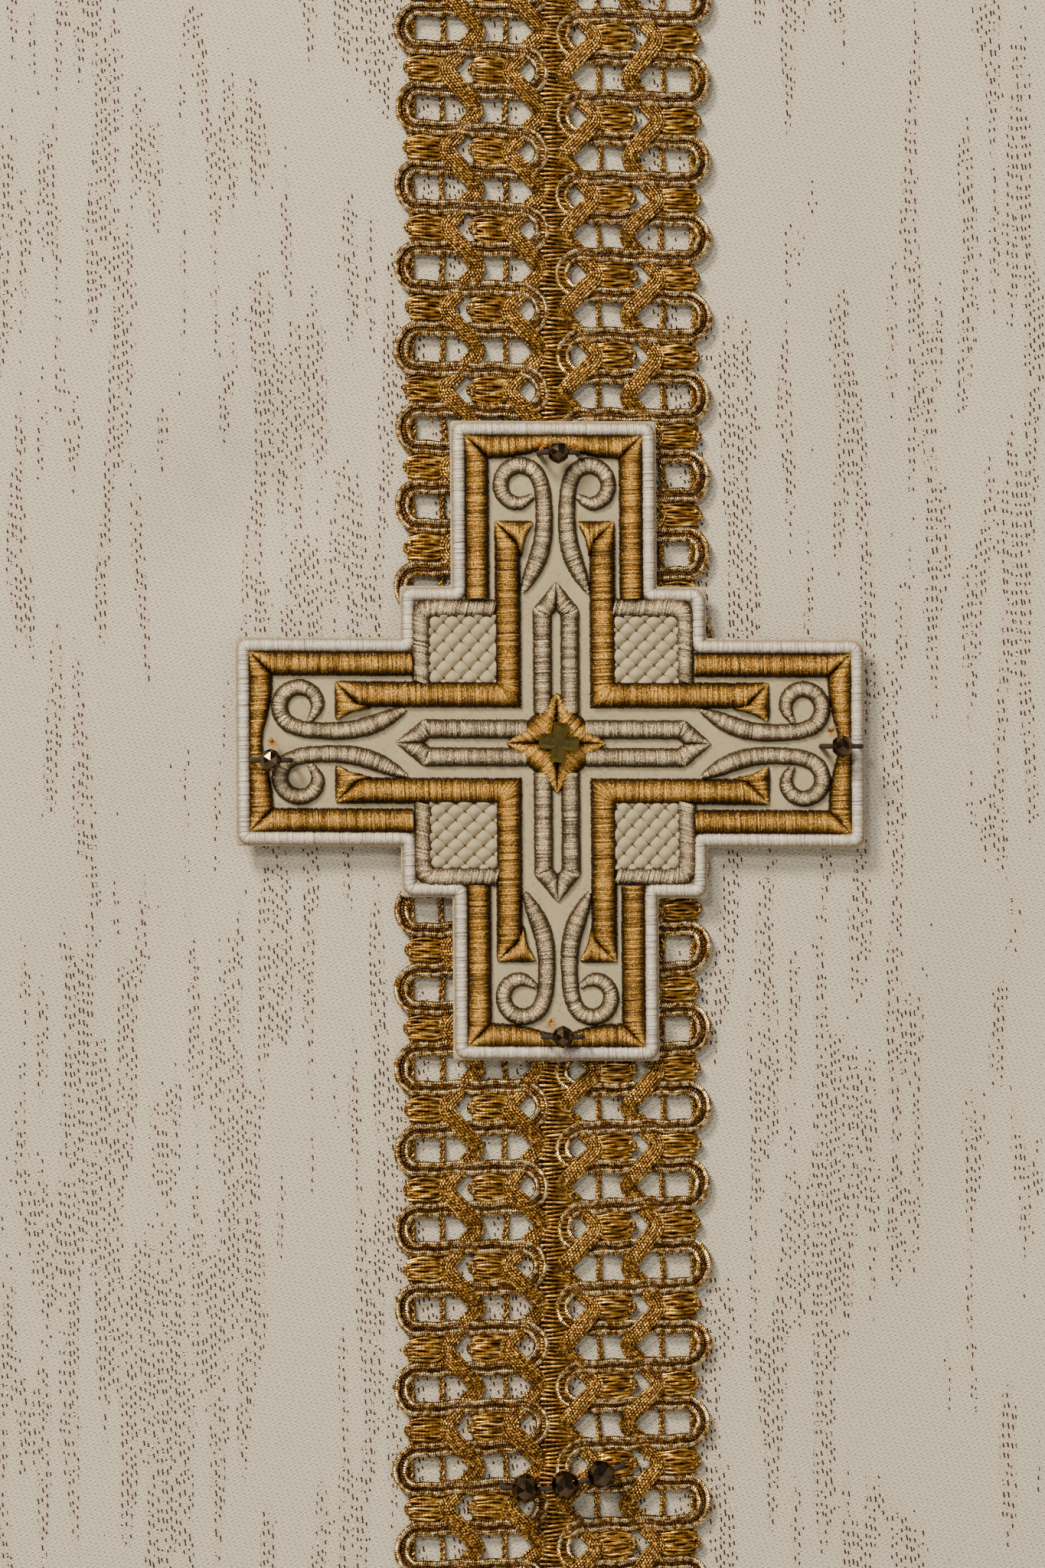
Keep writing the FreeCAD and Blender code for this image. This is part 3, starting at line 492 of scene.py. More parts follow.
def yarn_tree():
    """Gives every line its thickness and repeats the whole motif down the column."""
    inputs = {
        "Sides": ("NodeSocketInt", 6),
        "Repeats": ("NodeSocketInt", 4),
        "Step": ("NodeSocketFloat", 10.4 * MM),
        "Yarn": ("NodeSocketMaterial", None),
    }
    tree, source, sink = new_tree("repeated yarns", inputs)
    given = source.outputs
    length = add(tree, "GeometryNodeSplineParameter").outputs["Length"]
    marked = add(tree, "GeometryNodeStoreNamedAttribute",
                 {"Geometry": given["Geometry"], "Name": "along", "Value": length},
                 data_type="FLOAT", domain="POINT")
    ring = add(tree, "GeometryNodeCurvePrimitiveCircle", {"Resolution": given["Sides"], "Radius": 1.0},
               mode="RADIUS")
    factor = add(tree, "GeometryNodeSplineParameter").outputs["Factor"]
    ring_marked = add(tree, "GeometryNodeStoreNamedAttribute",
                      {"Geometry": ring.outputs[0], "Name": "around", "Value": factor},
                      data_type="FLOAT", domain="POINT")
    radius = add(tree, "GeometryNodeInputRadius").outputs[0]
    tube = add(tree, "GeometryNodeCurveToMesh", {0: marked.outputs[0], 1: ring_marked.outputs[0]})
    if "Scale" in tube.inputs:
        tree.links.new(radius, tube.inputs["Scale"])
    tube.inputs["Fill Caps"].default_value = True
    down = calc(tree, "MULTIPLY", given["Step"], -1.0)
    offset = add(tree, "ShaderNodeCombineXYZ", {2: down}).outputs[0]
    places = add(tree, "GeometryNodeMeshLine", {"Count": given["Repeats"], "Offset": offset}, mode="OFFSET")
    copies = add(tree, "GeometryNodeInstanceOnPoints",
                 {"Points": places.outputs[0], "Instance": tube.outputs[0]})
    real = add(tree, "GeometryNodeRealizeInstances", {0: copies.outputs[0]})
    coloured = add(tree, "GeometryNodeSetMaterial", {0: real.outputs[0], "Material": given["Yarn"]})
    tree.links.new(coloured.outputs[0], sink.inputs[0])
    return tree


YARNS = yarn_tree()


def fine_threads(name, lines, sides, finish):
    """Threads that run once along their lines, as one mesh on the garment."""
    values = {"Sides": sides, "Repeats": 1, "Step": 0.0, "Yarn": MATERIALS[finish]}
    obj = run_tree(polyline_curves(name, lines), YARNS, values)
    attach(obj, "garment")
    return obj


# ------------------------------------------------------------------ the drape

class Drape:
    """Where a point of the flat panel hangs: an arched middle and a fan of folds each side."""

    steps = 2000

    def __init__(self, panel):
        self.side = SIDE[panel]
        self.radius = BODY_RADIUS[panel]
        self.neck_depth = NECK_DEPTH[panel]
        self.slope = math.tan(SHOULDER_SLOPE)
        self.fan = math.pi / 2 - SHOULDER_SLOPE
        self.reach = math.pi / 2 - SLEEVE_SLOPE
        self.shares = np.linspace(0, 1, self.steps + 1)
        low, high = 0.0, 1.5
        for _ in range(40):
            self.swing = (low + high) / 2
            self.lengths = self.fan_lengths()
            low, high = (self.swing, high) if self.lengths[-1] < self.fan else (low, self.swing)

    def direction(self, share):
        """The direction of lines of the fan, from straight down to the sleeve seam."""
        out = self.reach * share
        lift = FOLD_LIFT * 6.75 * share * share * (1 - share)
        wave = np.sin(np.pi * share) ** 2 * np.sin(math.tau * FOLD_COUNT * share)
        fore = lift + self.swing * wave
        return np.stack([np.sin(out) * np.cos(fore), self.side * np.sin(fore),
                         -np.cos(out) * np.cos(fore)], axis=-1)

    def fan_lengths(self):
        lines = self.direction(self.shares)
        return np.concatenate([[0], np.cumsum(np.linalg.norm(np.diff(lines, axis=0), axis=1))])

    def arch(self, run):
        """How far forward and how far down the cloth is after a run from the shoulder line."""
        run = np.asarray(run, dtype=float)
        turned = np.minimum(run / self.radius, BODY_LEAN)
        forward = self.radius * (np.cos(BODY_LEAN - turned) - math.cos(BODY_LEAN))
        drop = self.radius * (math.sin(BODY_LEAN) - np.sin(BODY_LEAN - turned))
        return forward, drop + np.maximum(run - self.radius * BODY_LEAN, 0)

    def shoulder_height(self, across):
        return self.slope * (NECK_HALF_WIDTH - across)

    def hem(self, across, up, step_across, step_up):
        """How far a straight line on the flat panel runs before it meets the rounded hem."""
        low, high = 0.0, 2 * PANEL_LENGTH
        for _ in range(40):
            run = (low + high) / 2
            wide = abs(across + run * step_across) / PANEL_HALF_WIDTH
            tall = abs(up + run * step_up) / PANEL_LENGTH
            if wide ** HEM_ROUNDNESS + tall ** HEM_ROUNDNESS < 1:
                low = run
            else:
                high = run
        return low

    def neck_start(self, across):
        if across >= NECK_HALF_WIDTH:
            return 0.0
        rounded = math.sqrt(1 - (across / NECK_HALF_WIDTH) ** 2)
        return self.neck_depth * rounded + self.shoulder_height(across)

    def middle(self, across, downs):
        """Points of the arched middle, and their places on the flat panel."""
        height = self.shoulder_height(across)
        start = self.neck_start(across)
        end = self.hem(across, height, 0, -1)
        runs = start + (end - start) * downs
        forward, drop = self.arch(runs)
        points = np.stack([np.full_like(runs, across), self.side * forward, height - drop], axis=-1)
        flat = np.stack([np.full_like(runs, across), height - runs], axis=-1)
        return points, flat

    def fold(self, angle, downs):
        """Points of the fan; the angle runs from straight down to the seam."""
        top = self.shoulder_height(SHOULDER_HALF_WIDTH)
        end = self.hem(SHOULDER_HALF_WIDTH, top, math.sin(angle), -math.cos(angle))
        runs = end * downs
        forward, drop = self.arch(runs)
        settle = math.cos(math.pi / 2 * angle / self.fan) ** 2
        share = np.interp(angle, self.lengths, self.shares)
        points = runs[:, None] * self.direction(np.array(share))[None, :]
        points[:, 0] += SHOULDER_HALF_WIDTH
        points[:, 1] += self.side * forward * settle
        points[:, 2] += top + (runs - drop) * settle
        flat = np.stack([SHOULDER_HALF_WIDTH + runs * math.sin(angle), top - runs * math.cos(angle)],
                        axis=-1)
        return points, flat

    def columns(self, middle_count, fold_count, rows):
        downs = np.linspace(0, 1, rows + 1)
        made = []
        for number in range(middle_count + 1):
            made.append(self.middle(SHOULDER_HALF_WIDTH * number / middle_count, downs))
        for number in range(1, fold_count + 1):
            made.append(self.fold(self.fan * number / fold_count, downs))
        points = np.array([column[0] for column in made])
        flat = np.array([column[1] for column in made])
        mirror = np.array([-1.0, 1.0, 1.0])
        points = np.concatenate([points[:0:-1] * mirror, points])
        flat = np.concatenate([flat[:0:-1] * mirror[:2], flat])
        return points, flat


# gentle hollows in the hanging cloth: centre from the cross, half-lengths, lean, depth (mm)
HOLLOWS = [(-40, 31, 17, 7, 28, 3.2), (-52, -28, 12, 34, -14, 1.4), (47, 46, 9, 40, 8, 1.2),
           (55, -52, 12, 30, -12, 1.5), (-60, 78, 14, 26, 16, 1.2)]


def settle_hollows(points):
    """Presses soft hollows into the chest, clear of the galloon and of the cross's arms."""
    across = (points[..., 0] - CROSS_X) / MM
    up = (points[..., 2] - CROSS_Z) / MM
    depth = np.zeros_like(across)
    for x, z, half_length, half_width, lean, deep in HOLLOWS:
        turn = math.radians(lean)
        along = (across - x) * math.cos(turn) + (up - z) * math.sin(turn)
        aside = (up - z) * math.cos(turn) - (across - x) * math.sin(turn)
        depth += deep * np.exp(-(along / half_length) ** 2 - (aside / half_width) ** 2)
    clear = np.clip((np.abs(across) - 21) / 14, 0, 1)
    points[..., 1] += depth * MM * clear * clear * (3 - 2 * clear)
    return points


def make_panel(panel):
    """One cloth panel as a closed sheet, with its flat cut as the UV map."""
    drape = Drape(panel)
    points, flat = drape.columns(middle_count=44, fold_count=84, rows=150)
    if panel == "front":
        points = settle_hollows(points)
    columns, rows = points.shape[:2]
    faces = []
    for c in range(columns - 1):
        for r in range(rows - 1):
            near, far = c * rows + r, (c + 1) * rows + r
            quad = (near, near + 1, far + 1, far)
            faces.append(quad if drape.side < 0 else quad[::-1])
    obj = mesh_object(panel + "_panel_cloth", points.reshape(-1, 3), faces, "satin_cloth")
    layer = obj.data.uv_layers.new(name="cut")
    corners = np.empty(len(obj.data.loops), dtype=np.int32)
    obj.data.loops.foreach_get("vertex_index", corners)
    layer.data.foreach_set("uv", flat.reshape(-1, 2)[corners].astype(np.float32).ravel())
    thicken = obj.modifiers.new("cloth thickness", "SOLIDIFY")
    thicken.thickness = PANEL_THICKNESS
    thicken.offset = -1
    obj = plain_mesh(obj)
    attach(obj, "garment")
    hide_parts(panel + "_panel")
    return drape


def make_binding(drapes):
    """The folded strip round the neck opening, over the edges of both panels."""
    quarter, around = 28, 12
    stations = [(drapes["front"], turn) for turn in range(-quarter, quarter)]
    stations += [(drapes["back"], turn) for turn in range(quarter, -quarter, -1)]
    edges, downs = [], []
    for drape, turn in stations:
        across = NECK_HALF_WIDTH * math.sin(math.pi / 2 * turn / quarter)
        points, _ = drape.middle(min(abs(across), NECK_HALF_WIDTH - 1e-6), np.array([0.0, 0.01]))
        points[:, 0] *= math.copysign(1, across)
        edges.append(Vector(points[0]))
        downs.append(Vector(points[1] - points[0]).normalized())
    count = len(edges)
    verts = []
    for number in range(count):
        heading = (edges[(number + 1) % count] - edges[number - 1]).normalized()
        out = heading.cross(downs[number]).normalized()
        down = out.cross(heading).normalized()
        middle = edges[number] + down * (BINDING_WIDTH * 0.3)
        for step in range(around):
            turned = math.tau * step / around
            wide = math.copysign(abs(math.cos(turned)) ** 0.8, math.cos(turned))
            deep = math.copysign(abs(math.sin(turned)) ** 0.55, math.sin(turned))
            verts.append(middle + down * (wide * BINDING_WIDTH / 2) + out * (deep * BINDING_THICKNESS / 2))
    faces = []
    for number in range(count):
        following = (number + 1) % count
        for step in range(around):
            beside = (step + 1) % around
            faces.append((number * around + step, number * around + beside,
                          following * around + beside, following * around + step))
    obj = mesh_object("neck_binding_strip", verts, faces, "binding_cloth")
    point_outwards(obj)
    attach(obj, "garment")
    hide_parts("neck_binding")


def point_outwards(obj):
    shape = bmesh.new()
    shape.from_mesh(obj.data)
    bmesh.ops.recalc_face_normals(shape, faces=shape.faces)
    shape.to_mesh(obj.data)
    shape.free()


# ------------------------------------------------------------------ the galloon

# millimetres, on a flat column: u outwards from the middle, v downwards, height off the cloth;
# v = 0 is the level of the windows of the left half
REPEAT = 10.4
RIGHT_SHIFT = 0.54 * REPEAT
GALLOON_OFFSET = -0.85 * MM
GALLOON_SKEW = 0.47
GALLOON_LIFT = 0.25 * MM
GALLOON_FINISH = {"gimp": "gimp", "yarn": "gold_yarn", "chain": "gold_yarn", "floss": "gold_floss",
                  "core": "core_yarn"}
GIMP = 0.44
STRAND = 0.21


def ellipse_turn(u, v, wide, tall, start, end, count):
    """Points of an elliptical stretch, angles in degrees, 0 outwards and 90 down."""
    turns = np.radians(np.linspace(start, end, count + 1))
    return [(u + wide * math.cos(t), v + tall * math.sin(t)) for t in turns]


def meander(rung, outer_reach, inner_reach, detail):
    """One repeat of a cord: in from the spine, round the scallop at the window, and back."""
    bend = max(5, int(13 * detail))
    far, near, tall = 17.6, 4.3, REPEAT / 2 - rung
    path = ellipse_turn(near, -REPEAT / 2, near - inner_reach, tall, 180, 90, bend // 2 + 1)
    rungs = np.linspace(near, far, max(4, int(16 * detail)))
    path += [(u, -rung + 0.10 * math.sin(u * 1.7)) for u in rungs[1:-1]]
    path += ellipse_turn(far, 0.0, outer_reach - far, rung, -90, 90, bend)
    path += [(u, rung + 0.10 * math.sin(u * 1.3 + 1)) for u in rungs[::-1][1:-1]]
    path += ellipse_turn(near, REPEAT / 2, near - inner_reach, tall, -90, -180, bend // 2 + 1)
    return path


def dip(u):
    """How far a rung sinks where a thick yarn crosses it."""
    return math.exp(-((u - 11.9) / 1.7) ** 2) + math.exp(-((u - 3.9) / 1.7) ** 2)


def half_gimps(detail):
    """The two wire-wound cords of one half of one repeat."""
    lines = []
    for rung, outer, inner in ((3.1, 20.35, 1.9), (1.95, 19.1, 0.7)):
        path = meander(rung, outer, inner, detail)
        lines.append(([(u, v, 0.85 - 0.45 * dip(u)) for u, v in path], GIMP))
    return lines


def half_cores(detail):
    """The brown core yarns that fill the ground of one half of one repeat."""
    path = meander(2.52, 19.7, 1.3, 0.6 * detail)
    lines = [([(u, v, 0.30) for u, v in path], 0.52)]
    for near, far, rise in ((14.2, 18.8, 0.9), (5.8, 10.4, 1.15)):
        for v in (-rise, 0.0, rise):
            lines.append(([(near, REPEAT / 2 + v, 0.1), (far, REPEAT / 2 + v, 0.1)], 0.62))
    for middle, sway in ((11.85, 1.6), (3.55, 1.7)):
        steps = np.linspace(0, 1, max(7, int(12 * detail)))
        path = [(middle - sway * math.cos(math.tau * s), REPEAT * s, 0.0) for s in steps]
        lines.append((path, 0.6))
    return lines


def bundle_threads(near, far, spread, count, detail):
    """Side-by-side threads across a bundle, drawn together at both ends."""
    lines = []
    for number in range(count):
        share = number / (count - 1) - 0.5
        path = []
        for along in np.linspace(0, 1, max(3, int(8 * detail))):
            swell = 0.80 + 0.20 * math.sin(math.pi * along) ** 0.7
            waver = 0.09 * math.sin(8 * along + 4.1 * number)
            path.append((near + (far - near) * along, REPEAT / 2 + share * spread * swell + waver,
                         0.66 + 0.26 * math.sin(math.pi * along) - 0.4 * share * share))
        lines.append((path, 0.23 if detail > 0.6 else 0.36))
    return lines


def zigzag_strands(middle, sway, strands, detail):
    """The thick yarn that weaves between two columns, as parallel strands."""
    lines = []
    places = np.linspace(0, 1, max(9, int(21 * detail)))
    for strand in range(strands):
        share = strand / (strands - 1) - 0.5
        path = []
        for s in places:
            turn = math.tau * s
            u = middle - sway * (math.cos(turn) + 0.09 * math.cos(3 * turn))
            slope = sway * (math.sin(turn) + 0.27 * math.sin(3 * turn)) * math.tau / REPEAT
            steep = math.hypot(1, slope)
            over = 1.0 - 0.42 * math.sin(turn) - 0.9 * share * share
            path.append((u + share * 1.8 / steep, REPEAT * s - share * 1.8 * slope / steep, over))
        lines.append((path, STRAND if detail > 0.6 else 0.38))
    return lines


def curl(u, v, radius, detail):
    """A small loop that ties a bundle's end."""
    path = ellipse_turn(u, v, radius, radius * 1.5, -150, 150, max(4, int(9 * detail)))
    return [(a, b, 0.75) for a, b in path]


def half_yarns(detail):
    """The bright twisted yarns of one half of one repeat."""
    strands = 6 if detail > 0.6 else 3
    lines = zigzag_strands(11.85, 1.8, strands, detail) + zigzag_strands(3.55, 1.95, strands, detail)
    lines += [(curl(9.6, 0.1, 0.34, detail), 0.24), (curl(1.35, 0.1, 0.30, detail), 0.24)]
    lines += [(curl(10.45, REPEAT / 2, 0.4, detail), 0.34), (curl(18.8, REPEAT / 2, 0.4, detail), 0.34)]
    return lines


def half_chains(detail):
    """The thin upright chains of one half of one repeat, each of two threads twined together."""
    lines = []
    twines = 6 if detail > 0.6 else 2
    turns = math.tau * np.linspace(0, 1, 5 * twines + 1)
    for u in (6.1, 14.4, 18.35):
        for phase in (0.0, math.pi):
            path = [(u + 0.25 * math.sin(twines * t + phase), REPEAT * t / math.tau,
                     0.35 + 0.12 * math.cos(twines * t + phase)) for t in turns]
            lines.append((path, 0.22))
    return lines


def half_floss(detail):
    """The straight bright threads of the two bundles of one half of one repeat."""
    near_count, far_count = (8, 7) if detail > 0.6 else (4, 4)
    lines = bundle_threads(5.9, 10.3, 3.3, near_count, detail)
    return lines + bundle_threads(14.3, 18.8, 2.9, far_count, detail)


def spine_lines(detail):
    """The dense middle: cores down it and short threads across them."""
    cores = [([(u, 0.0, 0.1), (u, REPEAT, 0.1)], 0.55) for u in (-0.9, 0.0, 0.9, 1.8)]
    yarns = []
    count = 19 if detail > 0.6 else 9
    for number in range(count):
        v = REPEAT * (number + 0.5) / count
        fan = 0.24 * math.sin(math.tau * 2 * number / count + 0.6)
        path = []
        for along in np.linspace(0, 1, max(3, int(5 * detail))):
            path.append((-1.5 + 3.9 * along, v + fan * (along - 0.5) * 2,
                         0.75 + 0.35 * math.sin(math.pi * along)))
        yarns.append((path, 0.19 if detail > 0.6 else 0.36))
    return cores, yarns


def galloon_lines(detail):
    """All lines of one repeat, the right half mirrored and about half a repeat lower."""
    halves = {"gimp": half_gimps(detail), "yarn": half_yarns(detail), "floss": half_floss(detail),
              "chain": half_chains(detail), "core": half_cores(detail)}
    kept = {kind: [] for kind in halves}
    for kind, lines in halves.items():
        for side, shift in ((-1, 0.0), (1, RIGHT_SHIFT)):
            for path, radius in lines:
                kept[kind].append(([(side * u, v + shift, height) for u, v, height in path], radius))
    cores, yarns = spine_lines(detail)
    kept["core"] += cores
    kept["floss"] += yarns
    return kept


def column_curves(name, lines):
    """The lines as curves on a flat, upright column: x across, z down, -y outwards, in metres."""
    laid = []
    for path, radius in lines:
        points = [(x * MM, -height * MM, -v * MM) for x, v, height in path]
        laid.append((points, [radius * MM] * len(points)))
    return polyline_curves(name, laid)


def uneven_drift(points, seed):
    """A small drift, in metres, so that no two repeats are quite alike."""
    chance = random.Random(seed)
    drift = np.zeros((len(points), 2))
    for _ in range(12):
        length = chance.uniform(7, 50) * MM
        lean = chance.uniform(-0.9, 0.9)
        phase = math.tau * (points[:, 2] + lean * points[:, 0]) / length + chance.uniform(0, 6)
        size = chance.uniform(0.03, 0.12) * MM
        drift[:, chance.randrange(2)] += size * np.sin(phase)
    return drift


def lay_on_arch(obj, drape, top_run, level_run):
    """Bends a flat column over the chest or back; its top lies top_run from the shoulder line."""
    mesh = obj.data
    points = np.empty(len(mesh.vertices) * 3)
    mesh.vertices.foreach_get("co", points)
    points = points.reshape(-1, 3)
    runs = top_run - points[:, 2]
    drift = uneven_drift(np.stack([points[:, 0], points[:, 1], runs], axis=-1), seed=7)
    across = points[:, 0] + drift[:, 0] + GALLOON_OFFSET
    skew = GALLOON_SKEW * np.clip(runs - level_run, -0.08, 0.08) * points[:, 0]
    runs = runs + drift[:, 1] - skew
    relief = GALLOON_LIFT - points[:, 1]
    forward, drop = drape.arch(runs)
    turned = BODY_LEAN - np.minimum(runs / drape.radius, BODY_LEAN)
    laid = np.stack([across * -drape.side,
                     drape.side * (forward + relief * np.cos(turned)),
                     drape.shoulder_height(0) - drop + relief * np.sin(turned)], axis=-1)
    mesh.vertices.foreach_set("co", laid.ravel())
    mesh.shade_smooth()
    mesh.update()


def galloon_stretch(name, node, drape, top_run, level_run, repeats, detail):
    """A stretch of galloon: its gimps, yarns, chains, floss and cores, a piece each."""
    for kind, lines in galloon_lines(detail).items():
        obj = column_curves("%s_%s" % (name, kind), lines)
        values = {"Sides": 6 if detail > 0.6 else 4, "Repeats": repeats, "Step": REPEAT * MM,
                  "Yarn": MATERIALS[GALLOON_FINISH[kind]]}
        obj = run_tree(obj, YARNS, values)
        lay_on_arch(obj, drape, top_run, level_run)
        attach(obj, "garment")
        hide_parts(node)


# how far the left half's windows lie below the level of the cross's centre
WINDOW_LEVEL = 0.75 * MM
CHEST_REPEATS = 23
# away from the chest the braid has fewer threads and fewer points on each
PLAIN_DETAIL = 0.45


def make_galloons(drapes):
    """The front galloon in three stretches, and the back one in one."""
    front, back = drapes["front"], drapes["back"]
    step = REPEAT * MM
    cross_run = front.radius * (BODY_LEAN - math.sin(BODY_LEAN)) + front.shoulder_height(0) - CROSS_Z
    chest_top = cross_run + WINDOW_LEVEL - (CHEST_REPEATS // 2) * step
    start = front.neck_start(0) + 0.6 * BINDING_WIDTH
    end = front.hem(0, front.shoulder_height(0), 0, -1) - BINDING_WIDTH
    above = int((chest_top - start) / step)
    below = int((end - chest_top) / step) - CHEST_REPEATS
    upper_top = chest_top - above * step
    lower_top = chest_top + CHEST_REPEATS * step
    for part, top, repeats, detail in (("chest", chest_top, CHEST_REPEATS, 1.0),
                                       ("upper", upper_top, above, PLAIN_DETAIL),
                                       ("lower", lower_top, below, PLAIN_DETAIL)):
        galloon_stretch("front_galloon_" + part, "front_galloon", front, top, cross_run, repeats, detail)
    start = back.neck_start(0) + 0.6 * BINDING_WIDTH
    end = back.hem(0, back.shoulder_height(0), 0, -1) - BINDING_WIDTH
    galloon_stretch("back_galloon_full", "back_galloon", back, start, cross_run,
                    int((end - start) / step), PLAIN_DETAIL)


# ------------------------------------------------------------------ the cross

def stitch_shape():
    """One stitch: a thread arched over a padding of unit half-width and unit height."""
    half, segments = 0.112 * MM, 8
    points, faces = [], []
    for step in range(segments + 1):
        turn = math.pi * step / segments
        y, z = -math.cos(turn), math.sin(turn) ** 0.9
        points += [(-half, y, z * 0.95), (0.0, y, z + 0.03), (half, y, z * 0.95)]
    for step in range(segments):
        a, b = 3 * step, 3 * step + 3
        faces += [(a, a + 1, b + 1, b), (a + 1, a + 2, b + 2, b + 1)]
    return points, faces


def as_sewn(x, z):
    """Where a point of the drawn cross ended up: the patch was cut and sewn a little unevenly."""
    across = x * (0.962 if x > 0 else 1.006) - 0.25
    up = z * (1.008 if z > 0 else 0.992) - 0.1
    return across - 0.006 * z, up - 0.004 * x


class CrossWork:
    """Lays satin-stitched shapes on the felt, in millimetres from the centre of the cross."""

    def __init__(self):
        self.tree = satin_stitch_tree()
        points, faces = stitch_shape()
        self.stitch = mesh_object("stitch_shape", points, faces, "gold_thread")
        # painted light: 1 on the crest of the stitch, 0 at its feet; the thread material lightens the crest
        # and darkens the feet by it
        crest = [math.sin(math.pi * (number // 3) / 8) for number in range(len(points))]
        self.stitch.data.attributes.new("crest", "FLOAT", "POINT").data.foreach_set("value", crest)

    def place(self, x, z, height=0.0):
        across, up = as_sewn(x, z)
        return (CROSS_X + across * MM, FELT_FACE - height * MM, CROSS_Z + up * MM)

    def rungs(self, column, pitch):
        """Stitches between the two rails of a column, as pairs of points."""
        made = []
        for first, second in zip(column, column[1:]):
            first, second = np.array(first, dtype=float), np.array(second, dtype=float)
            moves = (second - first).reshape(2, 2)
            count = max(1, round(float(np.linalg.norm(moves, axis=1).max()) / pitch))
            made += [first + (second - first) * step / count for step in range(count)]
        made.append(np.array(column[-1], dtype=float))
        return made

    def satin(self, name, node, columns, thread, padding, relief, seed, pitch=0.24):
        """Stitches each column of rail stations (x, z, x, z), over a rounded padding."""
        chance = random.Random(seed)
        points, faces, runs, raises = [], [], [], []
        for column in columns:
            rungs = self.rungs(column, pitch)
            widest = max(math.hypot(r[2] - r[0], r[3] - r[1]) for r in rungs)
            for number, (ax, az, bx, bz) in enumerate(rungs):
                length = math.hypot(bx - ax, bz - az)
                slack = 0.05 + 0.10 * chance.random()
                stretch = 1 + 2 * slack / max(length, 0.8)
                lift = relief * (0.25 + 0.75 * min(1, length / widest) ** 0.7)
                start = len(points)
                for step in range(7):
                    turn = math.pi * step / 6
                    share = 0.5 - 0.48 * math.cos(turn)
                    height = lift * 0.84 * math.sin(turn)
                    points.append(self.place(ax + (bx - ax) * share, az + (bz - az) * share, height))
                    middle = step == 3
                    half = 0.5 * stretch * MM
                    run = ((bx - ax) * half, lift * MM, (bz - az) * half)
                    runs.append(run if middle and length > 0.12 else (0.0, 0.0, 0.0))
                    raises.append(height * MM if middle else 0.0)
                if number:
                    back = start - 7
                    faces += [(back + k, back + k + 1, start + k + 1, start + k) for k in range(6)]
        # the padding, coloured dark as painted shade, shows between the stitches
        obj = mesh_object(name, points, faces, padding)
        obj.data.attributes.new("run", "FLOAT_VECTOR", "POINT").data.foreach_set(
            "vector", np.array(runs, dtype=np.float32).ravel())
        obj.data.attributes.new("raise", "FLOAT", "POINT").data.foreach_set(
            "value", np.array(raises, dtype=np.float32))
        obj = run_tree(obj, self.tree, {"Stitch": self.stitch, "Thread": MATERIALS[thread], "Seed": seed})
        obj.data.shade_smooth()
        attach(obj, "garment")
        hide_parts(node)

    def finish(self):
        bpy.data.objects.remove(self.stitch)


def turned(points, quarter):
    """Stations of x, z pairs turned clockwise by quarter turns about the centre."""
    made = []
    for station in points:
        values = list(station)
        for _ in range(quarter):
            values = [v for x, z in zip(values[::2], values[1::2]) for v in (z, -x)]
        made.append(tuple(values))
    return made


def mirrored(column):
    """A column mirrored across the arm's axis."""
    return [tuple(-v if k % 2 == 0 else v for k, v in enumerate(station)) for station in column]


def smooth_line(points, count):
    """A smooth curve through a few given points (x, z, half-width)."""
    given = np.array(points, dtype=float)
    chords = np.concatenate([[0], np.cumsum(np.linalg.norm(np.diff(given[:, :2], axis=0), axis=1))])
    chords /= chords[-1]
    made = []
    for where in np.linspace(0, 1, count):
        number = min(max(int(np.searchsorted(chords, where)) - 1, 0), len(given) - 2)
        share = (where - chords[number]) / (chords[number + 1] - chords[number])
        before = given[max(number - 1, 0)]
        start, end = given[number], given[number + 1]
        after = given[min(number + 2, len(given) - 1)]
        left, right = (end - before) / 2, (after - start) / 2
        h1 = 2 * share ** 3 - 3 * share ** 2 + 1
        h2 = share ** 3 - 2 * share ** 2 + share
        h3 = share ** 3 - share ** 2
        made.append(tuple(h1 * start + h2 * left + h3 * right + (1 - h1) * end))
    return made


def ribbon(line, slant=0.0):
    """The rails of a column along a line of (x, z, half-width); the stitches can slant."""
    given = np.array(line, dtype=float)
    heading = np.gradient(given[:, :2], axis=0)
    heading /= np.linalg.norm(heading, axis=1)[:, None]
    normal = np.stack([-heading[:, 1], heading[:, 0]], axis=-1) + slant * heading
    reach = normal * given[:, 2:3]
    return [(*(p - r), *(p + r)) for p, r in zip(given[:, :2], reach)]


def mitred(points, half, closed=False):
    """A column for each straight part of a line, their ends cut to meet in mitres."""
    given = [np.array(p, dtype=float) for p in points]
    parts = len(given) if closed else len(given) - 1
    columns = []
    for number in range(parts):
        start, end = given[number], given[(number + 1) % len(given)]
        length = float(np.linalg.norm(end - start))
        heading = (end - start) / length
        normal = np.array([-heading[1], heading[0]])
        cuts = []
        for corner, other, inside in ((start, given[number - 1], number > 0 or closed),
                                      (end, given[(number + 2) % len(given)],
                                       number < parts - 1 or closed)):
            if not inside:
                cuts.append(0.0)
                continue
            away = (other - corner) / np.linalg.norm(other - corner)
            own = heading if corner is start else -heading
            cosine = float(np.dot(away, own))
            slope = math.sqrt(max(1 + cosine, 1e-9) / max(1 - cosine, 1e-9))
            cuts.append(half * slope * (1 if float(np.dot(away, normal)) > 0 else -1))
        first, last = cuts
        stations = []
        if first:
            tip = start - heading * abs(first) + normal * half * (-1 if first > 0 else 1)
            stations.append((*tip, *tip))
            wide = start + heading * abs(first)
            stations.append((*(wide - normal * half), *(wide + normal * half)))
        else:
            stations.append((*(start - normal * half), *(start + normal * half)))
        if last:
            wide = end - heading * abs(last)
            stations.append((*(wide - normal * half), *(wide + normal * half)))
            tip = end + heading * abs(last) + normal * half * (-1 if last > 0 else 1)
            stations.append((*tip, *tip))
        else:
            stations.append((*(end - normal * half), *(end + normal * half)))
        columns.append(stations)
    return columns


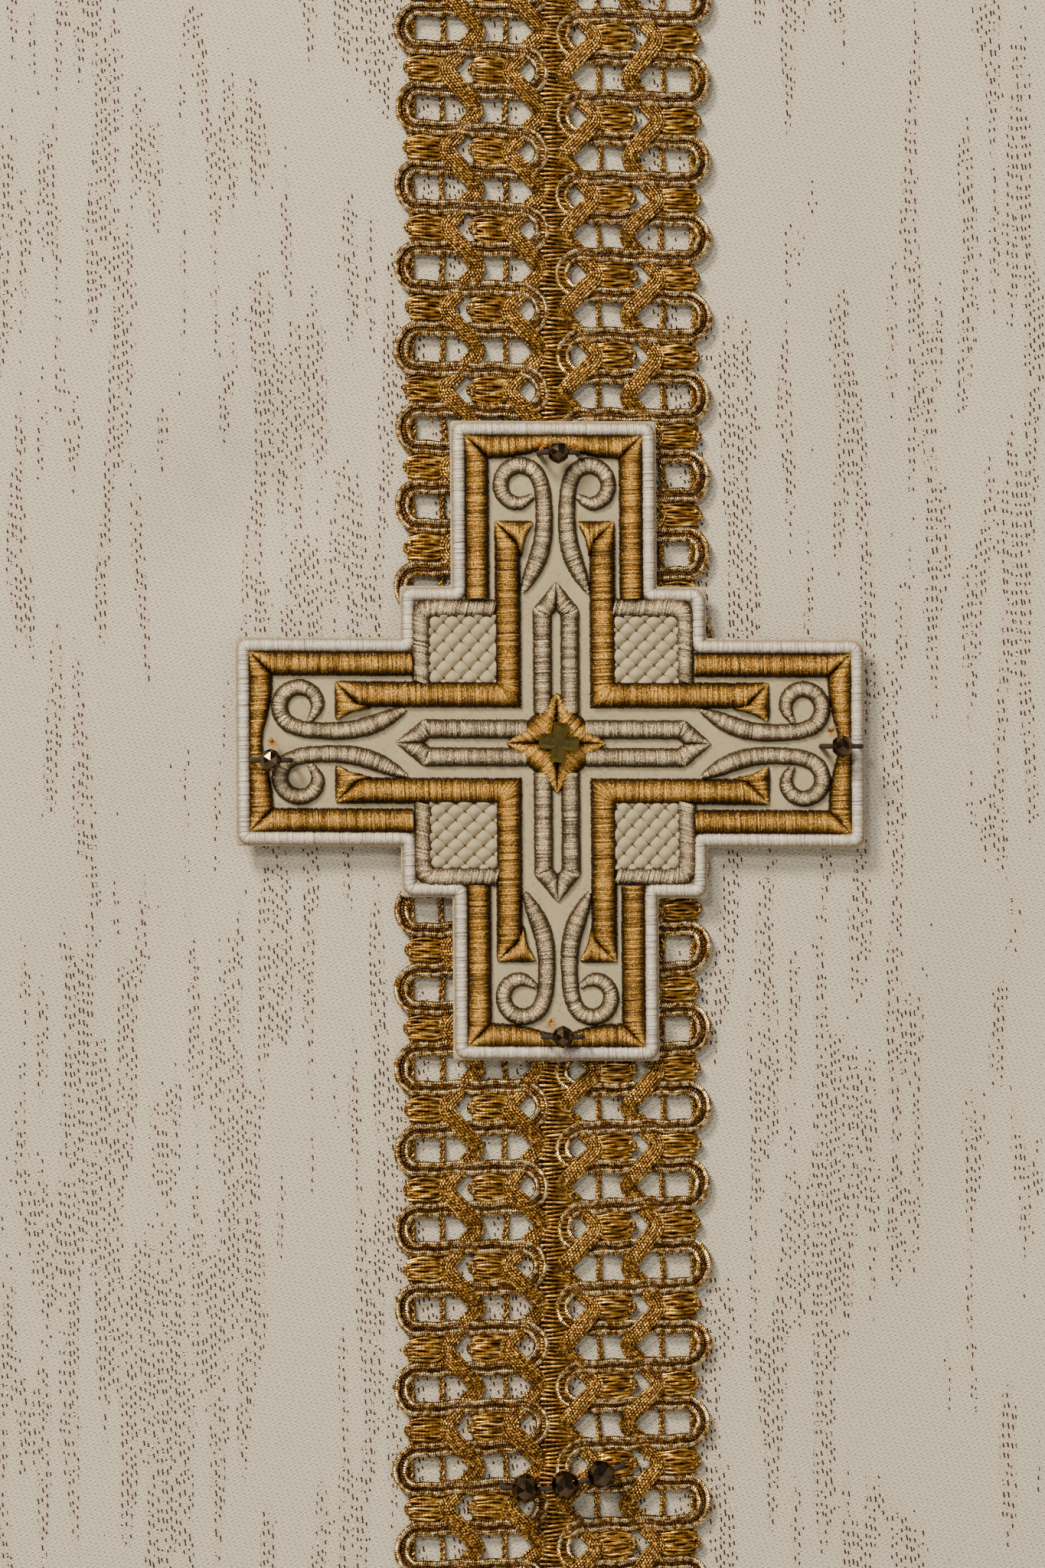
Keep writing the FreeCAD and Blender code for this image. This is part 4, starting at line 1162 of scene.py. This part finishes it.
ARM_TURNS = {"top": 0, "right": 1, "bottom": 2, "left": 3}
CORNER_TURNS = {"upper_left": 0, "upper_right": 1, "lower_right": 2, "lower_left": 3}
GOLD_RELIEF, PALE_RELIEF, EDGE_RELIEF = 1.15, 0.95, 0.75


def stitch_frames(work):
    """A gold bracket round each arm's end, narrowing towards its bead."""
    out, end, band, foot = 11.75, 39.85, 3.05, 18.8
    leg = [(-out, foot, band - out, foot), (-out, end - band, band - out, end - band),
           (-out, end, -out, end)]
    half_bar = [(-out, end, -out, end), (band - out, end, band - out, end - band),
                (-6.2, end, -6.2, end - band + 0.15), (-3.4, end, -3.4, end - band + 0.7),
                (-1.4, end, -1.4, end - 1.75), (0.0, end, 0.0, end - 1.6)]
    for number, (arm, quarter) in enumerate(ARM_TURNS.items()):
        columns = [leg, mirrored(leg), half_bar, mirrored(half_bar)]
        work.satin(arm + "_gold_bracket", arm + "_gold_frame", [turned(c, quarter) for c in columns],
                   "gold_thread", "padding", GOLD_RELIEF, 11 + number)


def stitch_angles(work):
    """The gold angle in each corner, each end turned inwards in a mitred stub."""
    far, near, reach = 7.9, 4.65, 28.7
    band = far - near
    leg = [(-far, far + 0.01, -near, far), (-far, reach - band, -near, reach - band),
           (-far, reach, -far, reach)]
    corner = [(-far, far, -near, near), (-far, far, -near, far)]
    stub = [(-far, reach, -far, reach), (-near - 0.35, reach, -near - 0.35, reach - band + 0.35),
            (-near + 0.1, reach, -near + 0.1, reach - 4.6), (-near + 0.8, reach, -near + 0.6, reach - 2.2),
            (-3.1, reach - 0.1, -3.2, reach - 0.6)]
    half = [corner, leg, stub]
    other = [[(-az, -ax, -bz, -bx) for ax, az, bx, bz in column] for column in half]
    for number, (name, quarter) in enumerate(CORNER_TURNS.items()):
        columns = [turned(column, quarter) for column in half + other]
        work.satin(name + "_gold_mitre", name + "_gold_angle", columns, "gold_thread", "padding",
                   GOLD_RELIEF, 31 + number)


def stitch_corner_borders(work):
    """The pale border round each corner square, its stitches on a slant."""
    up = smooth_line([(-17.5, 7.9, 1.2), (-17.55, 12.0, 1.2), (-17.6, 15.5, 1.25)], 8)
    over = smooth_line([(-17.6, 15.5, 1.25), (-17.2, 17.0, 1.35), (-15.5, 17.45, 1.15)], 7)
    along = smooth_line([(-15.5, 17.45, 1.15), (-12.0, 17.4, 1.1), (-8.1, 17.4, 1.1)], 8)
    line = up + over[1:] + along[1:]
    column = ribbon(line, 0.30)
    for number, (corner, quarter) in enumerate(CORNER_TURNS.items()):
        work.satin(corner + "_pale_border", corner + "_corner_border", [turned(column, quarter)],
                   "champagne_thread", "pale_padding", PALE_RELIEF, 51 + number)


def stitch_scrolls(work):
    """Two mirrored scrolls on each arm: a ring, then a stem that runs out beside the spear."""
    line = smooth_line([(-3.0, 31.9, 0.35), (-4.75, 31.0, 0.8), (-6.4, 31.6, 0.92), (-7.15, 33.25, 0.95),
                        (-6.5, 35.1, 1.0), (-4.7, 35.95, 1.02), (-2.75, 35.2, 1.02), (-1.8, 33.2, 1.0),
                        (-1.55, 31.0, 1.02), (-1.5, 28.5, 1.08), (-1.75, 26.0, 1.15), (-2.45, 23.6, 1.15),
                        (-3.45, 21.4, 0.85), (-4.3, 19.6, 0.25)], 60)
    column = ribbon(line)
    for number, (arm, quarter) in enumerate(ARM_TURNS.items()):
        for name, drawn in (("left", column), ("right", mirrored(column))):
            work.satin("%s_%s_scroll_stitching" % (arm, name), "%s_%s_scroll" % (arm, name),
                       [turned(drawn, quarter)], "champagne_thread", "pale_padding", PALE_RELIEF,
                       71 + 2 * number + (name == "left"))


def stitch_spears(work):
    """A pointed bar from the lozenge towards each arm: two columns that meet in a tip."""
    line = [(-1.82, 4.0), (-1.82, 16.9), (0.0, 19.1), (1.82, 16.9), (1.82, 4.0)]
    columns = mitred(line, 1.16)
    for number, (arm, quarter) in enumerate(ARM_TURNS.items()):
        work.satin(arm + "_spear_stitching", arm + "_spear_outline", [turned(c, quarter) for c in columns],
                   "champagne_thread", "pale_padding", PALE_RELIEF, 91 + number)


def stitch_lozenge(work):
    """The gold lozenge: stitches run from its four edges to its middle."""
    line = [(0.0, 3.35), (3.35, 0.0), (0.0, -3.35), (-3.35, 0.0)]
    work.satin("centre_lozenge_stitching", "centre_lozenge", mitred(line, 2.3, closed=True), "gold_thread",
               "padding", 1.25, 101)


CROSS_DRAWN_REACH, CROSS_ARM, CROSS_STEP = 41.7, 13.65, 20.3


def stepped_outline(inset):
    """The stepped outline of the cross, moved in by a distance."""
    reach, arm, step = CROSS_DRAWN_REACH - inset, CROSS_ARM - inset, CROSS_STEP - inset
    quarter = [(arm, reach), (arm, step), (step, step), (step, arm), (reach, arm)]
    corners = []
    for number in range(4):
        corners += turned(quarter, number)
    return corners


def rounded_loop(corners, radius, count=4):
    """A closed line with every corner rounded."""
    made = []
    for number, here in enumerate(corners):
        before, here, after = (np.array(corners[(number + k) % len(corners)]) for k in (-1, 0, 1))
        back = (before - here) / np.linalg.norm(before - here)
        on = (after - here) / np.linalg.norm(after - here)
        for share in np.linspace(0, 1, count + 1):
            point = here + back * radius * (1 - share) ** 2 + on * radius * share ** 2
            made.append((float(point[0]), float(point[1])))
    return made


def stitch_edge(work):
    """The cream satin-stitched edge all round the cross."""
    loop = [(x, z, 0.8) for x, z in rounded_loop(stepped_outline(1.1), 0.7)]
    loop.append(loop[0])
    work.satin("cross_edge_stitching", "cross_edge_border", [ribbon(loop)], "cream_thread", "pale_padding",
               EDGE_RELIEF, 111, pitch=0.23)


def make_felt():
    """The felt ground with softly rounded edges."""
    points, faces = [], []
    rings = [(0.30, 0.0), (0.08, 0.15), (0.0, 0.5), (0.0, 0.9), (0.3, 1.2)]
    for inset, depth in rings:
        for x, z in rounded_loop(stepped_outline(inset), 0.5):
            across, up = as_sewn(x, z)
            points.append((CROSS_X + across * MM, FELT_FACE + depth * MM, CROSS_Z + up * MM))
    count = len(points) // len(rings)
    for level in range(len(rings) - 1):
        for number in range(count):
            following = (number + 1) % count
            faces.append((level * count + number, level * count + following,
                          (level + 1) * count + following, (level + 1) * count + number))
    faces.append(tuple(range(count))[::-1])
    faces.append(tuple((len(rings) - 1) * count + number for number in range(count)))
    obj = mesh_object("cross_felt_ground", points, faces, "cream_felt", smooth=False)
    point_outwards(obj)
    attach(obj, "garment")
    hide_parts("cross_felt_base")


NET_WIDE, NET_TALL = 2.25, 2.4


def make_lattices(work):
    """Corner squares: felt puffed into diamonds by a net of couched threads."""
    near, far, count = 7.7, 16.6, 66
    for corner, quarter in CORNER_TURNS.items():
        points, faces = [], []
        for row in range(count + 1):
            for column in range(count + 1):
                x = -far + (far - near) * column / count
                z = near + (far - near) * row / count
                one = abs(math.sin(math.pi * (x / NET_WIDE + z / NET_TALL)))
                two = abs(math.sin(math.pi * (x / NET_WIDE - z / NET_TALL)))
                puff = 0.05 + 0.75 * (one * two) ** 0.5
                edge = min(column, row, count - column, count - row)
                points.append(work.place(*turned([(x, z)], quarter)[0], puff if edge > 0 else 0.0))
        for row in range(count):
            for column in range(count):
                start = row * (count + 1) + column
                faces.append((start, start + 1, start + count + 2, start + count + 1))
        pad = mesh_object(corner + "_puffed_square", points, faces, "cream_felt")
        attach(pad, "garment")
        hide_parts(corner + "_lattice_pad")
        make_net(work, corner, quarter, near, far)


def make_net(work, corner, quarter, near, far):
    """The net: fine threads both ways, sunk between the puffs."""
    lines = []
    for slant in (1, -1):
        for number in range(-16, 17):
            path = []
            for x in np.linspace(-far, -near, 36):
                z = slant * NET_TALL * (number - x / NET_WIDE)
                if near <= z <= far:
                    dip = 0.05 * math.cos(math.tau * 2 * x / NET_WIDE)
                    path.append(work.place(*turned([(float(x), z)], quarter)[0], 0.13 + dip))
            if len(path) > 2:
                lines.append((path, [0.11 * MM] * len(path)))
    obj = fine_threads(corner + "_net_threads", lines, 5, "net_thread")
    obj.data.shade_smooth()
    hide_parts(corner + "_lattice_net")


def make_fuzz(work):
    """Loose fibres that stand up from the felt, thickest along its edge."""
    chance = random.Random(9)
    outline = rounded_loop(stepped_outline(0.1), 0.5)
    spots = []
    for first, second in zip(outline, outline[1:] + outline[:1]):
        length = math.dist(first, second)
        for _ in range(int(length * 4)):
            share = chance.random()
            spots.append((first[0] + (second[0] - first[0]) * share,
                          first[1] + (second[1] - first[1]) * share))
    for _ in range(2600):
        long_way, short_way = chance.uniform(-41, 41), chance.uniform(-8.5, 8.5)
        spots.append((long_way, short_way) if chance.random() < 0.5 else (short_way, long_way))
    lines = []
    for x, z in spots:
        turn, bend = chance.uniform(0, math.tau), chance.uniform(-1.2, 1.2)
        size, rise = chance.uniform(0.25, 0.55), chance.uniform(0.05, 0.3)
        path = []
        for s in (0.0, 0.5, 1.0):
            lean = turn + bend * s
            path.append(work.place(x + size * s * math.cos(lean), z + size * s * math.sin(lean), rise * s))
        lines.append((path, [0.018 * MM] * 3))
    obj = fine_threads("felt_fuzz", lines, 3, "cream_felt")


TUFTS = {"top": [(-2.3, 0.9), (2.2, 0.6)], "left": [(0.2, 2.3)], "right": [(-1.3, 1.9)],
         "bottom": [(-1.6, 1.8)]}


def make_tufts():
    """Frayed orange ends of the sewing thread beside the beads."""
    chance = random.Random(5)
    lines = []
    spots = []
    for arm, offsets in TUFTS.items():
        low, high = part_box(arm + "_end_bead")
        for x, z in offsets:
            spots.append((0.5 * (low[0] + high[0]) + x * MM, FELT_FACE - 0.9 * MM,
                          0.5 * (low[2] + high[2]) + z * MM, 26, 1.0))
    for key in ("first", "second", "third"):
        low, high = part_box(key + "_row_bead")
        for x, z in ((-2.3, -0.5), (1.6, 1.5)):
            spots.append((0.5 * (low[0] + high[0]) + x * MM, GALLOON_FACE - 0.2 * MM,
                          0.5 * (low[2] + high[2]) + z * MM, 8, 0.6))
    for x, y, z, count, reach in spots:
        for _ in range(count):
            lean = chance.uniform(0, math.tau)
            bend = lean + chance.uniform(-1.6, 1.6)
            steps = [0.0, 0.35, 0.7, 1.0]
            size = reach * chance.uniform(0.3, 1.0) * MM
            path = []
            for s in steps:
                turn = lean + (bend - lean) * s
                path.append((x + size * s * math.cos(turn), y - size * 0.9 * math.sin(math.pi * s * 0.6),
                             z + size * s * math.sin(turn)))
            lines.append((path, [0.07 * MM * (1 - 0.5 * s) for s in steps]))
    obj = fine_threads("frayed_thread_ends", lines, 5, "sewing_thread")
    obj.data.shade_smooth()


def make_cross():
    """The whole patch: its ground, its stitches, its corner squares and its loose fibres."""
    work = CrossWork()
    make_felt()
    stitch_edge(work)
    stitch_frames(work)
    stitch_angles(work)
    stitch_corner_borders(work)
    stitch_scrolls(work)
    stitch_spears(work)
    stitch_lozenge(work)
    make_lattices(work)
    make_tufts()
    make_fuzz(work)
    work.finish()


def finish_cad_pieces():
    """Gives the nodes that keep their own shape the finish of the real piece."""
    for name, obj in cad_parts.items():
        material = None
        if name == "centre_cross_stud":
            material = "dark_gold_metal"
        elif name.endswith("_end_bead") or name.endswith("_row_bead"):
            material = "bronze_bead"
        elif name.endswith("_bead_thread"):
            material = "padding"
        if material:
            for slot in obj.material_slots:
                slot.material = MATERIALS[material]


# ------------------------------------------------------------------ floor, light and camera

def make_floor():
    """A plain pale floor below the hem."""
    level = CAD_BOX[0][2] - 0.06
    points = [(-20, -20, level), (20, -20, level), (20, 20, level), (-20, 20, level)]
    mesh = bpy.data.meshes.new("studio_floor")
    mesh.from_pydata(points, [], [(0, 1, 2, 3)])
    material, _, shader = new_material("matt studio floor")
    shader.inputs["Base Color"].default_value = linear_colour("DEDBD6")
    shader.inputs["Roughness"].default_value = 0.9
    mesh.materials.append(material)
    floor = bpy.data.objects.new("studio_floor", mesh)
    bpy.context.scene.collection.objects.link(floor)


def soft_light(name, place, aim, size, watts, tint="FFFFFF"):
    data = bpy.data.lights.new(name, "AREA")
    data.shape = "RECTANGLE"
    data.size, data.size_y = size
    data.energy = watts
    data.color = linear_colour(tint)[:3]
    light = bpy.data.objects.new(name, data)
    light.location = place
    light.rotation_euler = (Vector(aim) - Vector(place)).to_track_quat("-Z", "Y").to_euler()
    bpy.context.scene.collection.objects.link(light)


def make_studio():
    chest = (0.0, CHEST_FACE, CROSS_Z)
    soft_light("key", (-0.62, -1.0, 0.55), chest, (0.30, 0.30), 36.5, "FFF4E2")
    soft_light("front glint", (-0.28, -1.1, 0.0), chest, (0.14, 0.14), 5, "FFFAF0")
    soft_light("fill", (0.9, -1.9, -0.2), chest, (1.2, 1.2), 9, "F6F6FF")
    soft_light("rear", (0.6, 2.4, 0.9), (0, 0.1, -0.6), (1.8, 1.8), 60)
    world = bpy.data.worlds.new("studio")
    bpy.context.scene.world = world
    world.use_nodes = True
    world.node_tree.nodes["Background"].inputs["Color"].default_value = linear_colour("E8E6E3")
    world.node_tree.nodes["Background"].inputs["Strength"].default_value = 0.22


def make_camera():
    """Looks square at the cloth, a little below and to the left of the cross's centre."""
    view_height, lens, sensor = 204.8 * MM, 100.0, 36.0
    data = bpy.data.cameras.new("camera")
    data.lens, data.sensor_width = lens, sensor
    data.clip_start, data.clip_end = 0.02, 20
    camera = bpy.data.objects.new("camera", data)
    distance = view_height * lens / sensor
    camera.location = (CROSS_X - 4.75 * MM, GALLOON_FACE - distance, CROSS_Z - 5.4 * MM)
    camera.rotation_euler = (math.pi / 2, 0, 0)
    bpy.context.scene.collection.objects.link(camera)
    bpy.context.scene.camera = camera


make_camera()
make_studio()
make_floor()
drapes = {panel: make_panel(panel) for panel in ("front", "back")}
make_binding(drapes)
make_galloons(drapes)
make_cross()
finish_cad_pieces()
